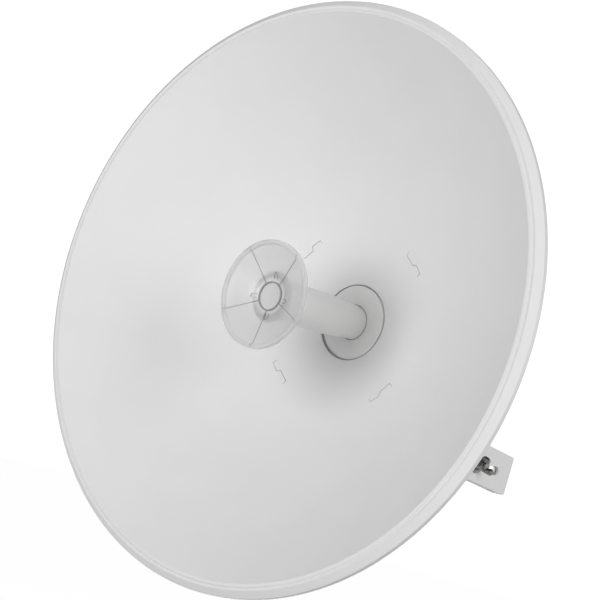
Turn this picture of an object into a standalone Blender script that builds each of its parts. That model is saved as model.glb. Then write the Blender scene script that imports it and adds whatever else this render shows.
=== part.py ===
"""Point-to-point parabolic dish antenna on its tilting pole bracket.

Metres, +Z up. The dish looks along -Y at rest. The origin lies on the flat
pad at the back of the pole bracket, midway between its two U-bolts.
Everything ahead of the bracket turns about one cross bolt, the elevation pivot.
"""
import math

import bmesh
import bpy
from mathutils import Matrix, Vector

# Where the dish stands from the mounting pad
FACE_TO_VERTEX = 0.281
AXIS_Z = -0.014

# Reflector: paraboloid, flat ledge, sloping flange and rolled hem
RIM_RADIUS = 0.325
FOCAL_LENGTH = 0.1543
DISH_EDGE_RADIUS = 0.3103
LEDGE_RADIUS = 0.3145
FLANGE_DROP = 0.0055
HEM_DEPTH = 0.0055
HEM_WIDTH = 0.0045
SHEET = 0.0020
HUB_HOLE_RADIUS = 0.0440
DISH_STEPS = 72
DISH_RINGS = 13

# Feed: flange in the hub hole, tube, clear sub-reflector cup and its nose
FLANGE_RADIUS = 0.0424
FLANGE_THICK = 0.0050
SOCKET_RADIUS = 0.0224
TUBE_SEAT = 0.0025
TUBE_BASE_RADIUS = 0.0216
TUBE_TIP_RADIUS = 0.0230
CUP_FRONT = 0.1559
CUP_RADIUS = 0.0591
CUP_LIP = 0.0018
CUP_WALL = 0.0030
CUP_SKIRT = 0.0050
CUP_FLOOR_DEPTH = 0.0125
CUP_FLOOR_RADIUS = 0.0160
CUP_SHEET = 0.0020
NOSE_HEIGHT = 0.0035
NOSE_HOLE_RADIUS = 0.0115
FEED_SAG = math.radians(2.8)
FEED_SWING = math.radians(-2.1)

# Feed housing behind the hub, with two capped cable ports
SHOULDER_RADIUS = 0.0540
SHOULDER_BACK = 0.0045
HOUSING_RADIUS = 0.0420
HOUSING_LENGTH = 0.0640
LID_THICK = 0.0070
LID_CHAMFER = 0.0025
PORT_OFFSET = 0.0190
PORT_RADIUS = 0.0075
PORT_LENGTH = 0.0160
PORT_COLLAR_RADIUS = 0.0115
PORT_COLLAR_HEIGHT = 0.0040
PORT_CAP_RADIUS = 0.0105
PORT_CAP_LENGTH = 0.0110
PORT_CAP_CHAMFER = 0.0015

# Back plate on four standoffs
PLATE_BACK = 0.0120
PLATE_THICK = 0.0030
PLATE_SIZE = 0.1760
PLATE_CORNER = 0.0160
PLATE_HOLE_RADIUS = 0.0460
STANDOFF_RADIUS = 0.0090
STANDOFF_BLANK = 0.0450
STANDOFF_OFFSET = 0.0735

# Elevation pivot, slot bolt and the arc slot between them, as back and up from the vertex
PIVOT_BACK = 0.2650
PIVOT_UP = 0.0800
SLOT_BOLT_BACK = 0.2360
SLOT_BOLT_UP = -0.1112
SLOT_FRONT_ANGLE = math.radians(12.35)
SLOT_REAR_ANGLE = math.radians(13.85)
SLOT_WIDTH = 0.0110
BOLT_RADIUS = 0.0050
BOLT_HOLE_RADIUS = 0.0055
BRACKET_HOLE_RADIUS = 0.0053

# Side arms: folded sheet, forked, with the slot in the lower branch
ARM_OUTSIDE = 0.0530
ARM_SHEET = 0.0030
ARM_FRONT_HALF = 0.0840
ARM_FLANGE = 0.0300
ARM_SLOPE = math.radians(4.2)
ARM_END = 0.0795
ARM_OVER_BOLT = 0.0271
ARM_UNDER_BOLT = 0.0219
ARM_LIP = 0.0150
ARM_LIP_START = -0.0902
ARM_LOBE_RADIUS = 0.0180
FORK_BACK = 0.1150
FORK_RADIUS = 0.0400
FORK_TOP_CENTER = 0.0080
ARM_CORNER = 0.0040
BEND_RADIUS = 0.0040

# Pole bracket: folded channel with its web against the pole, and a lug behind each slot
WEB_BACK = 0.2780
WEB_SHEET = 0.0040
WEB_FOOT = -0.0480
BRACKET_BEND_RADIUS = 0.0055
WING_FRONT = 0.2220
BRACKET_OUTSIDE = 0.0495
BRACKET_TOP = 0.0960
BRACKET_BOTTOM = -0.1215
NECK_BACK = 0.2560
LUG_TOP = -0.1000
LUG_BACK = 0.2935
LUG_CORNER = 0.0040
PAD_WIDTH = 0.0360
PAD_HEIGHT = 0.0400
PAD_PROUD = 0.0030

# U-bolts for a pole of up to 48 mm
U_BOLT_HEIGHTS = (0.0480, -0.0200)
U_BOLT_ROD = 0.0040
U_BOLT_HALF = 0.0290
U_BOLT_HOLE = 0.0046
U_BOLT_NUT_FLATS = 0.0130
U_BOLT_NUT_THICK = 0.0065
U_BOLT_THREAD_END = 0.0165

# Cross bolts, nuts and washers
HEAD_FLATS = 0.0160
HEAD_THICK = 0.0064
NUT_THICK = 0.0080
WASHER_RADIUS = 0.0115
WASHER_THICK = 0.0020
WASHER_HOLE = 0.0053
WING_SPAN = 0.0138
WING_RISE = 0.0185
WING_TIP_RADIUS = 0.0055
WING_ROOT = 0.0060
WING_THICK = 0.0040
WING_HUB_RADIUS = 0.0080
WING_HUB_TAPER = 0.0012
WING_HUB_HEIGHT = 0.0100
WING_TURN = math.radians(48)
BOLT_PROUD = 0.0030

# Clearances, and how far a cutter reaches past what it cuts
GAP = 0.0003
RUNNING_GAP = 0.0005
CUTTER_REACH = 0.0100


def clear_scene():
    for obj in list(bpy.data.objects):
        bpy.data.objects.remove(obj, do_unlink=True)


def make_collection(name):
    collection = bpy.data.collections.new(name)
    bpy.context.scene.collection.children.link(collection)
    return collection


def make_material(name, color, roughness, metallic=0.0, alpha=1.0):
    material = bpy.data.materials.new(name)
    material.use_nodes = True
    shader = material.node_tree.nodes["Principled BSDF"]
    shader.inputs["Base Color"].default_value = (*color, 1.0)
    shader.inputs["Roughness"].default_value = roughness
    shader.inputs["Metallic"].default_value = metallic
    shader.inputs["Alpha"].default_value = alpha
    return material


def place(name, data, material, matrix):
    """Link one object to the model and give it its material and place."""
    data.materials.clear()
    data.materials.append(material)
    obj = bpy.data.objects.new(name, data)
    MODEL.objects.link(obj)
    obj.matrix_world = matrix
    return obj


def at(back, up, across=0.0):
    """World point for a place behind the vertex, above the dish axis and across."""
    return Vector((across, back - FACE_TO_VERTEX, up + AXIS_Z))


def facing_forward(point):
    """Local +Z points along the boresight, local +Y points up."""
    return Matrix.Translation(point) @ Matrix.Rotation(math.pi / 2, 4, "X")


def facing_back(point):
    """Local +Z points away from the boresight, local -Y points up."""
    return Matrix.Translation(point) @ Matrix.Rotation(-math.pi / 2, 4, "X")


def facing_across(point):
    """Local +Z points to the right-hand side, as the cross bolts do."""
    return Matrix.Translation(point) @ Matrix.Rotation(math.pi / 2, 4, "Y")


def arc(center, radius, start, end, count):
    """Points on an arc, angles in degrees."""
    points = []
    for index in range(count + 1):
        angle = math.radians(start + (end - start) * index / count)
        points.append((center[0] + radius * math.cos(angle), center[1] + radius * math.sin(angle)))
    return points


def turned(name, profile, steps, material, matrix, ring=False):
    """A profile of (radius, height) points turned about local Z."""
    mesh = bpy.data.meshes.new(name)
    points = [(radius, 0.0, height) for radius, height in profile]
    edges = [(index, index + 1) for index in range(len(points) - 1)]
    if ring:
        edges.append((len(points) - 1, 0))
    mesh.from_pydata(points, edges, [])
    obj = place(name, mesh, material, matrix)
    screw = obj.modifiers.new("Turn", "SCREW")
    screw.axis = "Z"
    screw.steps = steps
    screw.render_steps = steps
    screw.use_merge_vertices = True
    screw.merge_threshold = 0.00001
    screw.use_smooth_shade = True
    return obj


def flat_curve(name, loops, thickness):
    """A filled outline in local XY, with any further loops as holes."""
    curve = bpy.data.curves.new(name, "CURVE")
    curve.dimensions = "2D"
    curve.fill_mode = "BOTH"
    curve.extrude = thickness / 2
    for loop in loops:
        spline = curve.splines.new("POLY")
        spline.points.add(len(loop) - 1)
        for point, place_on_loop in zip(spline.points, loop):
            point.co = (place_on_loop[0], place_on_loop[1], 0.0, 1.0)
        spline.use_cyclic_u = True
    return curve


def flat_piece(name, loops, thickness, material, matrix):
    return place(name, flat_curve(name, loops, thickness), material, matrix)


def mesh_of(obj):
    """The mesh an object makes with its modifiers, its loose caps welded."""
    graph = bpy.context.evaluated_depsgraph_get()
    mesh = bpy.data.meshes.new_from_object(obj.evaluated_get(graph))
    shape = bmesh.new()
    shape.from_mesh(mesh)
    bmesh.ops.remove_doubles(shape, verts=shape.verts, dist=0.000001)
    shape.to_mesh(mesh)
    shape.free()
    return mesh


def to_mesh_object(obj):
    """Swap a curve or a modified object for a plain mesh of the same name."""
    mesh = mesh_of(obj)
    name = obj.name
    matrix = obj.matrix_world.copy()
    material = obj.data.materials[0]
    bpy.data.objects.remove(obj, do_unlink=True)
    return place(name, mesh, material, matrix)


def round_bar(name, radius, length, material, matrix, segments=20):
    """A solid cylinder with its base at the local origin."""
    mesh = bpy.data.meshes.new(name)
    shape = bmesh.new()
    bmesh.ops.create_cone(
        shape, cap_ends=True, segments=segments, radius1=radius, radius2=radius, depth=length,
        matrix=Matrix.Translation((0.0, 0.0, length / 2)))
    shape.to_mesh(mesh)
    shape.free()
    mesh.shade_smooth()
    mesh.set_sharp_from_angle(angle=math.radians(35))
    return place(name, mesh, material, matrix)


def combine(obj, other, operation):
    """Cut or join with another shape, which moves out of the model to the cutters."""
    if other.name in MODEL.objects:
        MODEL.objects.unlink(other)
        CUTTERS.objects.link(other)
        other.hide_render = True
        other.display_type = "WIRE"
    boolean = obj.modifiers.new(operation.title(), "BOOLEAN")
    boolean.operation = operation
    boolean.solver = "EXACT"
    boolean.object = other


def hexagon(flats):
    return arc((0.0, 0.0), flats / math.sqrt(3), 0, 300, 5)


def circle(radius, count=20):
    return arc((0.0, 0.0), radius, 0, 360 - 360 / count, count - 1)


def rounded_square(size, corner):
    half = size / 2 - corner
    points = []
    for turn, (x, y) in enumerate(((half, half), (-half, half), (-half, -half), (half, -half))):
        points += arc((x, y), corner, 90 * turn, 90 * turn + 90, 4)
    return points


def dish_height(radius):
    """Height of the reflecting surface over the vertex."""
    return radius * radius / (4 * FOCAL_LENGTH)


def dish_radii():
    span = DISH_EDGE_RADIUS - HUB_HOLE_RADIUS
    return [HUB_HOLE_RADIUS + span * index / DISH_RINGS for index in range(DISH_RINGS + 1)]


def reflector_back(radius):
    return dish_height(radius) - SHEET


def make_reflector(material):
    """One spun sheet: front surface outwards, over the rim, and back behind."""
    edge = dish_height(DISH_EDGE_RADIUS)
    rim = edge - FLANGE_DROP
    profile = [(radius, dish_height(radius)) for radius in dish_radii()]
    profile += [
        (LEDGE_RADIUS, edge),
        (RIM_RADIUS - 0.0012, rim + 0.0008),
        (RIM_RADIUS, rim - 0.0008),
        (RIM_RADIUS, rim - HEM_DEPTH + 0.0012),
        (RIM_RADIUS - 0.0012, rim - HEM_DEPTH),
        (RIM_RADIUS - HEM_WIDTH, rim - HEM_DEPTH),
        (RIM_RADIUS - HEM_WIDTH, rim - SHEET),
        (LEDGE_RADIUS - SHEET / 2, edge - SHEET),
    ]
    profile += [(radius, reflector_back(radius)) for radius in reversed(dish_radii())]
    return turned("reflector", profile, DISH_STEPS, material, facing_forward(at(0.0, 0.0)), ring=True)


def hub_point():
    """Centre of the feed flange's front face."""
    return at(-dish_height(FLANGE_RADIUS), 0.0)


def feed_frame():
    """The feed sits a little askew in its socket, drooping and leaning to one side."""
    lean = Matrix.Rotation(FEED_SWING, 4, "Z") @ Matrix.Rotation(FEED_SAG, 4, "X")
    return Matrix.Translation(hub_point()) @ lean @ Matrix.Rotation(math.pi / 2, 4, "X")


def make_feed_flange(material):
    profile = [
        (SOCKET_RADIUS, 0.0),
        (FLANGE_RADIUS - 0.0006, 0.0),
        (FLANGE_RADIUS, -0.0006),
        (FLANGE_RADIUS, -FLANGE_THICK),
        (SOCKET_RADIUS, -FLANGE_THICK),
    ]
    return turned("feed_flange", profile, 48, material, facing_forward(hub_point()), ring=True)


def make_feed_tube(material):
    top = CUP_FRONT - CUP_FLOOR_DEPTH - CUP_SHEET - GAP
    profile = [
        (0.0, top),
        (TUBE_TIP_RADIUS, top),
        (TUBE_BASE_RADIUS, 0.0),
        (TUBE_BASE_RADIUS, -TUBE_SEAT),
        (0.0, -TUBE_SEAT),
    ]
    return turned("feed_tube", profile, 40, material, feed_frame())


def make_sub_reflector(material):
    """A shallow clear cup: lip, short skirt and a cone down to a flat floor."""
    floor = CUP_FRONT - CUP_FLOOR_DEPTH
    profile = [
        (0.0, floor),
        (CUP_FLOOR_RADIUS + 0.002, floor),
        (CUP_RADIUS - 0.0025, CUP_FRONT - CUP_WALL),
        (CUP_RADIUS - CUP_LIP, CUP_FRONT),
        (CUP_RADIUS, CUP_FRONT),
        (CUP_RADIUS, CUP_FRONT - CUP_SKIRT),
        (CUP_RADIUS - 0.0015, CUP_FRONT - CUP_SKIRT),
        (CUP_FLOOR_RADIUS + 0.003, floor - CUP_SHEET),
        (0.0, floor - CUP_SHEET),
    ]
    return turned("sub_reflector", profile, 48, material, feed_frame())


def make_feed_nose(material):
    floor = CUP_FRONT - CUP_FLOOR_DEPTH + GAP
    profile = [
        (NOSE_HOLE_RADIUS, floor + NOSE_HEIGHT),
        (CUP_FLOOR_RADIUS, floor + NOSE_HEIGHT),
        (CUP_FLOOR_RADIUS, floor),
        (NOSE_HOLE_RADIUS, floor),
    ]
    return turned("feed_nose", profile, 32, material, feed_frame(), ring=True)


def make_feed_housing(material):
    """Shoulder against the reflector's back, then the round body through the back plate."""
    flange_back = dish_height(FLANGE_RADIUS) - FLANGE_THICK
    shoulder_front = reflector_back(HUB_HOLE_RADIUS) - GAP
    profile = [
        (0.0, flange_back - GAP),
        (FLANGE_RADIUS + 0.0004, flange_back - GAP),
        (FLANGE_RADIUS + 0.0008, shoulder_front),
        (SHOULDER_RADIUS, shoulder_front),
        (SHOULDER_RADIUS, -SHOULDER_BACK),
        (HOUSING_RADIUS, -SHOULDER_BACK),
        (HOUSING_RADIUS, -HOUSING_LENGTH),
        (0.0, -HOUSING_LENGTH),
    ]
    return turned("feed_housing", profile, 40, material, facing_forward(at(0.0, 0.0)))


def make_housing_lid(material):
    top = -HOUSING_LENGTH - GAP
    profile = [
        (0.0, top),
        (HOUSING_RADIUS, top),
        (HOUSING_RADIUS, top - LID_THICK + LID_CHAMFER),
        (HOUSING_RADIUS - LID_CHAMFER, top - LID_THICK),
        (0.0, top - LID_THICK),
    ]
    return turned("housing_lid", profile, 40, material, facing_forward(at(0.0, 0.0)))


def make_port(side, metal, plastic):
    """A cable port on the lid, closed by its dust cap."""
    label = "right" if side > 0 else "left"
    lid_back = HOUSING_LENGTH + GAP + LID_THICK + GAP
    base = facing_back(at(lid_back, 0.0, side * PORT_OFFSET))
    barrel = [
        (0.0, PORT_LENGTH),
        (PORT_RADIUS, PORT_LENGTH),
        (PORT_RADIUS, PORT_COLLAR_HEIGHT),
        (PORT_COLLAR_RADIUS, PORT_COLLAR_HEIGHT),
        (PORT_COLLAR_RADIUS, 0.0),
        (0.0, 0.0),
    ]
    cap_base = PORT_LENGTH + GAP
    cap_end = cap_base + PORT_CAP_LENGTH
    cap = [
        (0.0, cap_end),
        (PORT_CAP_RADIUS - PORT_CAP_CHAMFER, cap_end),
        (PORT_CAP_RADIUS, cap_end - PORT_CAP_CHAMFER),
        (PORT_CAP_RADIUS, cap_base),
        (0.0, cap_base),
    ]
    return [
        turned("cable_port_" + label, barrel, 24, metal, base),
        turned("port_cap_" + label, cap, 24, plastic, base),
    ]


def make_back_plate(material):
    loops = [rounded_square(PLATE_SIZE, PLATE_CORNER), circle(PLATE_HOLE_RADIUS, 40)]
    middle = PLATE_BACK + PLATE_THICK / 2
    return flat_piece("back_plate", loops, PLATE_THICK, material, facing_forward(at(middle, 0.0)))


def make_shell_cutter(material):
    """Everything ahead of the reflector's back, to shape the standoffs' ends."""
    radii = dish_radii()
    top = dish_height(RIM_RADIUS)
    profile = [(0.0, top), (radii[-1], top)]
    profile += [(radius, reflector_back(radius) - GAP) for radius in reversed(radii)]
    profile.append((0.0, reflector_back(radii[0]) - GAP))
    return turned("shell_cutter", profile, DISH_STEPS, material, facing_forward(at(0.0, 0.0)))


def make_standoffs(material):
    cutter = make_shell_cutter(material)
    pieces = []
    corners = {"top_right": (1, 1), "top_left": (-1, 1), "bottom_left": (-1, -1), "bottom_right": (1, -1)}
    for label, (across, up) in corners.items():
        foot = at(PLATE_BACK - GAP, up * STANDOFF_OFFSET, across * STANDOFF_OFFSET)
        spot = facing_forward(foot)
        bar = round_bar("standoff_" + label, STANDOFF_RADIUS, STANDOFF_BLANK, material, spot)
        combine(bar, cutter, "DIFFERENCE")
        pieces.append(bar)
    return pieces


def along_arm(along, over):
    """Side-view point (back, up) from the slot bolt, along and square to the lower branch."""
    return (
        SLOT_BOLT_BACK + along * math.cos(ARM_SLOPE) + over * math.sin(ARM_SLOPE),
        SLOT_BOLT_UP - along * math.sin(ARM_SLOPE) + over * math.cos(ARM_SLOPE))


def arm_outline():
    """Side view of a forked arm, from the front fold round the lower and upper branches."""
    front = PLATE_BACK + PLATE_THICK + GAP + ARM_SHEET
    points = [(front, -ARM_FRONT_HALF), along_arm(ARM_LIP_START, -ARM_UNDER_BOLT)]
    center = along_arm(ARM_END - ARM_CORNER, ARM_CORNER - ARM_UNDER_BOLT)
    slope = -math.degrees(ARM_SLOPE)
    points += arc(center, ARM_CORNER, -90 + slope, slope, 4)
    center = along_arm(ARM_END - ARM_CORNER / 2, ARM_OVER_BOLT - ARM_CORNER / 2)
    points += arc(center, ARM_CORNER / 2, slope, 90 + slope, 2)
    center = along_arm(FORK_BACK + FORK_RADIUS - SLOT_BOLT_BACK, ARM_OVER_BOLT + FORK_RADIUS)
    points += arc(center, FORK_RADIUS, 270 + slope, 180, 6)
    points += arc((center[0], FORK_TOP_CENTER), FORK_RADIUS, 180, 98, 6)
    points += arc((PIVOT_BACK, PIVOT_UP), ARM_LOBE_RADIUS, -85, 92, 10)
    points.append((front, ARM_FRONT_HALF))
    return points


def slot_outline():
    """The elevation slot, an arc about the pivot."""
    reach = math.dist((PIVOT_BACK, PIVOT_UP), (SLOT_BOLT_BACK, SLOT_BOLT_UP))
    bolt = math.degrees(math.atan2(SLOT_BOLT_UP - PIVOT_UP, SLOT_BOLT_BACK - PIVOT_BACK))
    front = bolt - math.degrees(SLOT_FRONT_ANGLE)
    rear = bolt + math.degrees(SLOT_REAR_ANGLE)
    pivot = (PIVOT_BACK, PIVOT_UP)
    front_end, rear_end = arc(pivot, reach, front, rear, 1)
    points = arc(pivot, reach + SLOT_WIDTH / 2, front, rear, 10)
    points += arc(rear_end, SLOT_WIDTH / 2, rear, rear + 180, 6)[1:-1]
    points += arc(pivot, reach - SLOT_WIDTH / 2, rear, front, 10)
    points += arc(front_end, SLOT_WIDTH / 2, front + 180, front + 360, 6)[1:-1]
    return points


def side_view(side_offset):
    """Puts an outline drawn as (back, up) into the world at a place across."""
    columns = Matrix(((0.0, 0.0, 1.0), (1.0, 0.0, 0.0), (0.0, 1.0, 0.0))).to_4x4()
    return Matrix.Translation(at(0.0, 0.0, side_offset)) @ columns


def fold(shape, start, end, shift):
    """Fold a strip off the straight boundary edge between two outline points."""
    edges = []
    for edge in shape.edges:
        ends = [Vector(vertex.co[:2]) for vertex in edge.verts]
        near_start = min((point - Vector(start)).length for point in ends)
        near_end = min((point - Vector(end)).length for point in ends)
        if edge.is_boundary and near_start < 1e-5 and near_end < 1e-5:
            edges.append(edge)
    made = bmesh.ops.extrude_edge_only(shape, edges=edges)
    moved = [item for item in made["geom"] if isinstance(item, bmesh.types.BMVert)]
    bmesh.ops.translate(shape, verts=moved, vec=shift)


def bend_sheet(obj, thickness, radius):
    """Round the folds of an open sheet and give it its thickness behind its face."""
    bend = obj.modifiers.new("Bends", "BEVEL")
    bend.limit_method = "ANGLE"
    bend.width = radius
    bend.segments = 3
    sheet = obj.modifiers.new("Sheet", "SOLIDIFY")
    sheet.solidify_mode = "NON_MANIFOLD"
    sheet.nonmanifold_thickness_mode = "CONSTRAINTS"
    sheet.nonmanifold_merge_threshold = 0.00001
    sheet.thickness = thickness
    sheet.offset = -1.0


def make_arm(side, material):
    """A forked arm: flat sheet, a lip folded inwards below and a flange outwards in front."""
    label = "right" if side > 0 else "left"
    outline = arm_outline()
    flat = flat_piece("arm_" + label, [outline], 0.0, material, Matrix.Identity(4))
    arm = to_mesh_object(flat)
    shape = bmesh.new()
    shape.from_mesh(arm.data)
    lip_end = along_arm(ARM_END - ARM_CORNER, -ARM_UNDER_BOLT)
    fold(shape, outline[1], lip_end, (0.0, 0.0, -ARM_LIP))
    fold(shape, outline[0], outline[-1], (0.0, 0.0, ARM_FLANGE))
    bmesh.ops.recalc_face_normals(shape, faces=shape.faces)
    flat_face = max(shape.faces, key=lambda face: face.calc_area())
    if flat_face.normal.z < 0:
        bmesh.ops.reverse_faces(shape, faces=shape.faces)
    shape.transform(side_view(ARM_OUTSIDE))
    if side < 0:
        shape.transform(Matrix.Scale(-1.0, 4, (1.0, 0.0, 0.0)))
        bmesh.ops.reverse_faces(shape, faces=shape.faces)
    shape.to_mesh(arm.data)
    shape.free()
    bend_sheet(arm, ARM_SHEET, BEND_RADIUS)
    across = side * (ARM_OUTSIDE - ARM_SHEET / 2)
    depth = 2 * CUTTER_REACH
    slot = flat_piece("slot_cutter_" + label, [slot_outline()], depth, material, side_view(across))
    combine(arm, to_mesh_object(slot), "DIFFERENCE")
    start = at(PIVOT_BACK, PIVOT_UP, across - CUTTER_REACH)
    hole = round_bar("pivot_hole_" + label, BOLT_HOLE_RADIUS, depth, material, facing_across(start))
    combine(arm, hole, "DIFFERENCE")
    return arm


def wing_outline():
    """Side view (back, up) of a bracket wing beyond its fold: foot of the web, lug, front, top."""
    points = [(NECK_BACK, LUG_TOP)]
    points += arc((LUG_BACK - LUG_CORNER, LUG_TOP - LUG_CORNER), LUG_CORNER, 90, 0, 3)
    points += arc((LUG_BACK - LUG_CORNER, BRACKET_BOTTOM + LUG_CORNER), LUG_CORNER, 0, -90, 3)
    points.append((WING_FRONT, BRACKET_BOTTOM))
    points.append((WING_FRONT, BRACKET_TOP))
    return points


def make_pole_bracket(material):
    """A channel folded from sheet: web against the pole, two wings forward, a raised pad."""
    mesh = bpy.data.meshes.new("pole_bracket")
    shape = bmesh.new()
    corners = []
    for side in (1, -1):
        foot = shape.verts.new((side * BRACKET_OUTSIDE, WEB_FOOT, 0.0))
        top = shape.verts.new((side * BRACKET_OUTSIDE, BRACKET_TOP, 0.0))
        wing = [shape.verts.new((side * BRACKET_OUTSIDE, up, WEB_BACK - back)) for back, up in wing_outline()]
        shape.faces.new([foot, *wing, top])
        corners += [foot, top]
    web = shape.faces.new((corners[0], corners[1], corners[3], corners[2]))
    bmesh.ops.recalc_face_normals(shape, faces=shape.faces)
    if web.normal.z > 0:
        bmesh.ops.reverse_faces(shape, faces=shape.faces)
    shape.to_mesh(mesh)
    shape.free()
    bracket = place("pole_bracket", mesh, material, facing_forward(at(WEB_BACK, 0.0)))
    bend_sheet(bracket, WEB_SHEET, BRACKET_BEND_RADIUS)
    pad_mesh = bpy.data.meshes.new("bracket_pad")
    shape = bmesh.new()
    bmesh.ops.create_cube(shape, size=1.0)
    depth = PAD_PROUD + WEB_SHEET / 2
    bmesh.ops.scale(shape, vec=(PAD_WIDTH, depth, PAD_HEIGHT), verts=shape.verts)
    shape.to_mesh(pad_mesh)
    shape.free()
    pad = place("bracket_pad", pad_mesh, material, Matrix.Translation((0.0, -depth / 2, 0.0)))
    combine(bracket, pad, "UNION")
    reach = BRACKET_OUTSIDE + CUTTER_REACH
    for label, back, up in (("pivot", PIVOT_BACK, PIVOT_UP), ("slot", SLOT_BOLT_BACK, SLOT_BOLT_UP)):
        spot = facing_across(at(back, up, -reach))
        hole = round_bar(label + "_bore", BRACKET_HOLE_RADIUS, 2 * reach, material, spot)
        combine(bracket, hole, "DIFFERENCE")
    for number, up in enumerate(U_BOLT_HEIGHTS):
        for side in (1, -1):
            spot = facing_back(at(WEB_BACK - CUTTER_REACH, up, side * U_BOLT_HALF))
            name = f"u_bolt_bore_{number}_{side}"
            hole = round_bar(name, U_BOLT_HOLE, 2 * CUTTER_REACH, material, spot, 16)
            combine(bracket, hole, "DIFFERENCE")
    return bracket


def make_u_bolt(label, up, material):
    """Round rod: two threaded legs through the web and a half turn round the pole."""
    center = U_BOLT_HALF - U_BOLT_ROD - 0.001
    front = WEB_BACK - WEB_SHEET - U_BOLT_THREAD_END - FACE_TO_VERTEX
    points = [(U_BOLT_HALF, front)]
    points += arc((0.0, center), U_BOLT_HALF, 0, 180, 14)
    points.append((-U_BOLT_HALF, front))
    curve = bpy.data.curves.new("u_bolt_" + label, "CURVE")
    curve.dimensions = "3D"
    curve.bevel_depth = U_BOLT_ROD
    curve.bevel_resolution = 2
    curve.use_fill_caps = True
    spline = curve.splines.new("POLY")
    spline.points.add(len(points) - 1)
    for point, (across, back) in zip(spline.points, points):
        point.co = (across, back, 0.0, 1.0)
    level = Matrix.Translation((0.0, 0.0, up + AXIS_Z))
    return place("u_bolt_" + label, curve, material, level)


def make_u_bolt_nuts(label, up, material):
    nuts = []
    back = WEB_BACK - WEB_SHEET - GAP - U_BOLT_NUT_THICK / 2
    for side, word in ((1, "right"), (-1, "left")):
        loops = [hexagon(U_BOLT_NUT_FLATS), circle(U_BOLT_ROD + GAP, 16)]
        spot = facing_forward(at(back, up, side * U_BOLT_HALF))
        name = f"u_bolt_nut_{label}_{word}"
        nuts.append(flat_piece(name, loops, U_BOLT_NUT_THICK, material, spot))
    return nuts


def washer_face():
    """Distance across at which a nut or head bears on its washer."""
    return ARM_OUTSIDE + RUNNING_GAP + WASHER_THICK + GAP


def make_washers(label, back, up, material):
    pieces = []
    middle = ARM_OUTSIDE + RUNNING_GAP + WASHER_THICK / 2
    for side, word in ((1, "right"), (-1, "left")):
        loops = [circle(WASHER_RADIUS, 24), circle(WASHER_HOLE, 20)]
        spot = facing_across(at(back, up, side * middle))
        pieces.append(flat_piece(f"{label}_washer_{word}", loops, WASHER_THICK, material, spot))
    return pieces


def make_cross_bolt(label, back, up, beyond, material):
    """Hexagon head on the left, shank through both arms and the bracket."""
    head_start = -washer_face() - HEAD_THICK
    head_curve = flat_piece(
        label + "_bolt", [hexagon(HEAD_FLATS)], HEAD_THICK, material,
        facing_across(at(back, up, head_start + HEAD_THICK / 2)))
    bolt = to_mesh_object(head_curve)
    shank_start = head_start + HEAD_THICK / 2
    spot = facing_across(at(back, up, shank_start))
    shank = round_bar(label + "_shank", BOLT_RADIUS, beyond - shank_start, material, spot)
    combine(bolt, shank, "UNION")
    return bolt


def make_pivot_nut(material):
    loops = [hexagon(HEAD_FLATS), circle(BOLT_RADIUS + GAP, 20)]
    spot = facing_across(at(PIVOT_BACK, PIVOT_UP, washer_face() + NUT_THICK / 2))
    return flat_piece("pivot_nut", loops, NUT_THICK, material, spot)


def make_wing_nut(material):
    """Round hub with two upright ears, on the right-hand end of the slot bolt."""
    spot = facing_across(at(SLOT_BOLT_BACK, SLOT_BOLT_UP, washer_face()))
    profile = [
        (BOLT_RADIUS + GAP, WING_HUB_HEIGHT),
        (WING_HUB_RADIUS - WING_HUB_TAPER, WING_HUB_HEIGHT),
        (WING_HUB_RADIUS, 0.0),
        (BOLT_RADIUS + GAP, 0.0),
    ]
    nut = to_mesh_object(turned("wing_nut", profile, 24, material, spot, ring=True))
    upright = Matrix.Rotation(WING_TURN, 4, "Z") @ Matrix.Rotation(math.pi / 2, 4, "X")
    for side in (1, -1):
        tip = (WING_SPAN - WING_TIP_RADIUS, WING_RISE - WING_TIP_RADIUS)
        points = [(WING_ROOT, WING_HUB_TAPER), (WING_HUB_RADIUS, WING_HUB_TAPER)]
        points += arc(tip, WING_TIP_RADIUS, -20, 125, 7)
        points.append((WING_ROOT, WING_HUB_HEIGHT - WING_HUB_TAPER))
        loop = [(side * x, y) for x, y in points]
        ear = flat_piece(f"wing_ear_{side}", [loop], WING_THICK, material, spot @ upright)
        combine(nut, to_mesh_object(ear), "UNION")
    return nut


clear_scene()
MODEL = make_collection("dish_antenna")
CUTTERS = make_collection("cutters")

white_paint = make_material("white_paint", (0.80, 0.80, 0.80), 0.42)
white_plastic = make_material("white_plastic", (0.82, 0.82, 0.82), 0.40)
clear_plastic = make_material("clear_plastic", (0.92, 0.93, 0.93), 0.12, alpha=0.35)
grey_plastic = make_material("grey_plastic", (0.35, 0.36, 0.37), 0.50)
black_rubber = make_material("black_rubber", (0.04, 0.04, 0.04), 0.70)
galvanised = make_material("galvanised_steel", (0.55, 0.56, 0.57), 0.45, 1.0)
dark_zinc = make_material("dark_zinc", (0.18, 0.17, 0.15), 0.40, 1.0)
nickel = make_material("nickel", (0.62, 0.60, 0.56), 0.25, 1.0)

moving = [
    make_reflector(white_paint),
    make_feed_flange(white_plastic),
    make_feed_tube(white_plastic),
    make_sub_reflector(clear_plastic),
    make_feed_nose(clear_plastic),
    make_feed_housing(grey_plastic),
    make_housing_lid(grey_plastic),
    make_back_plate(white_paint),
    make_arm(1, white_paint),
    make_arm(-1, white_paint),
]
moving += make_standoffs(galvanised)
for port_side in (1, -1):
    moving += make_port(port_side, nickel, black_rubber)

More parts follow.
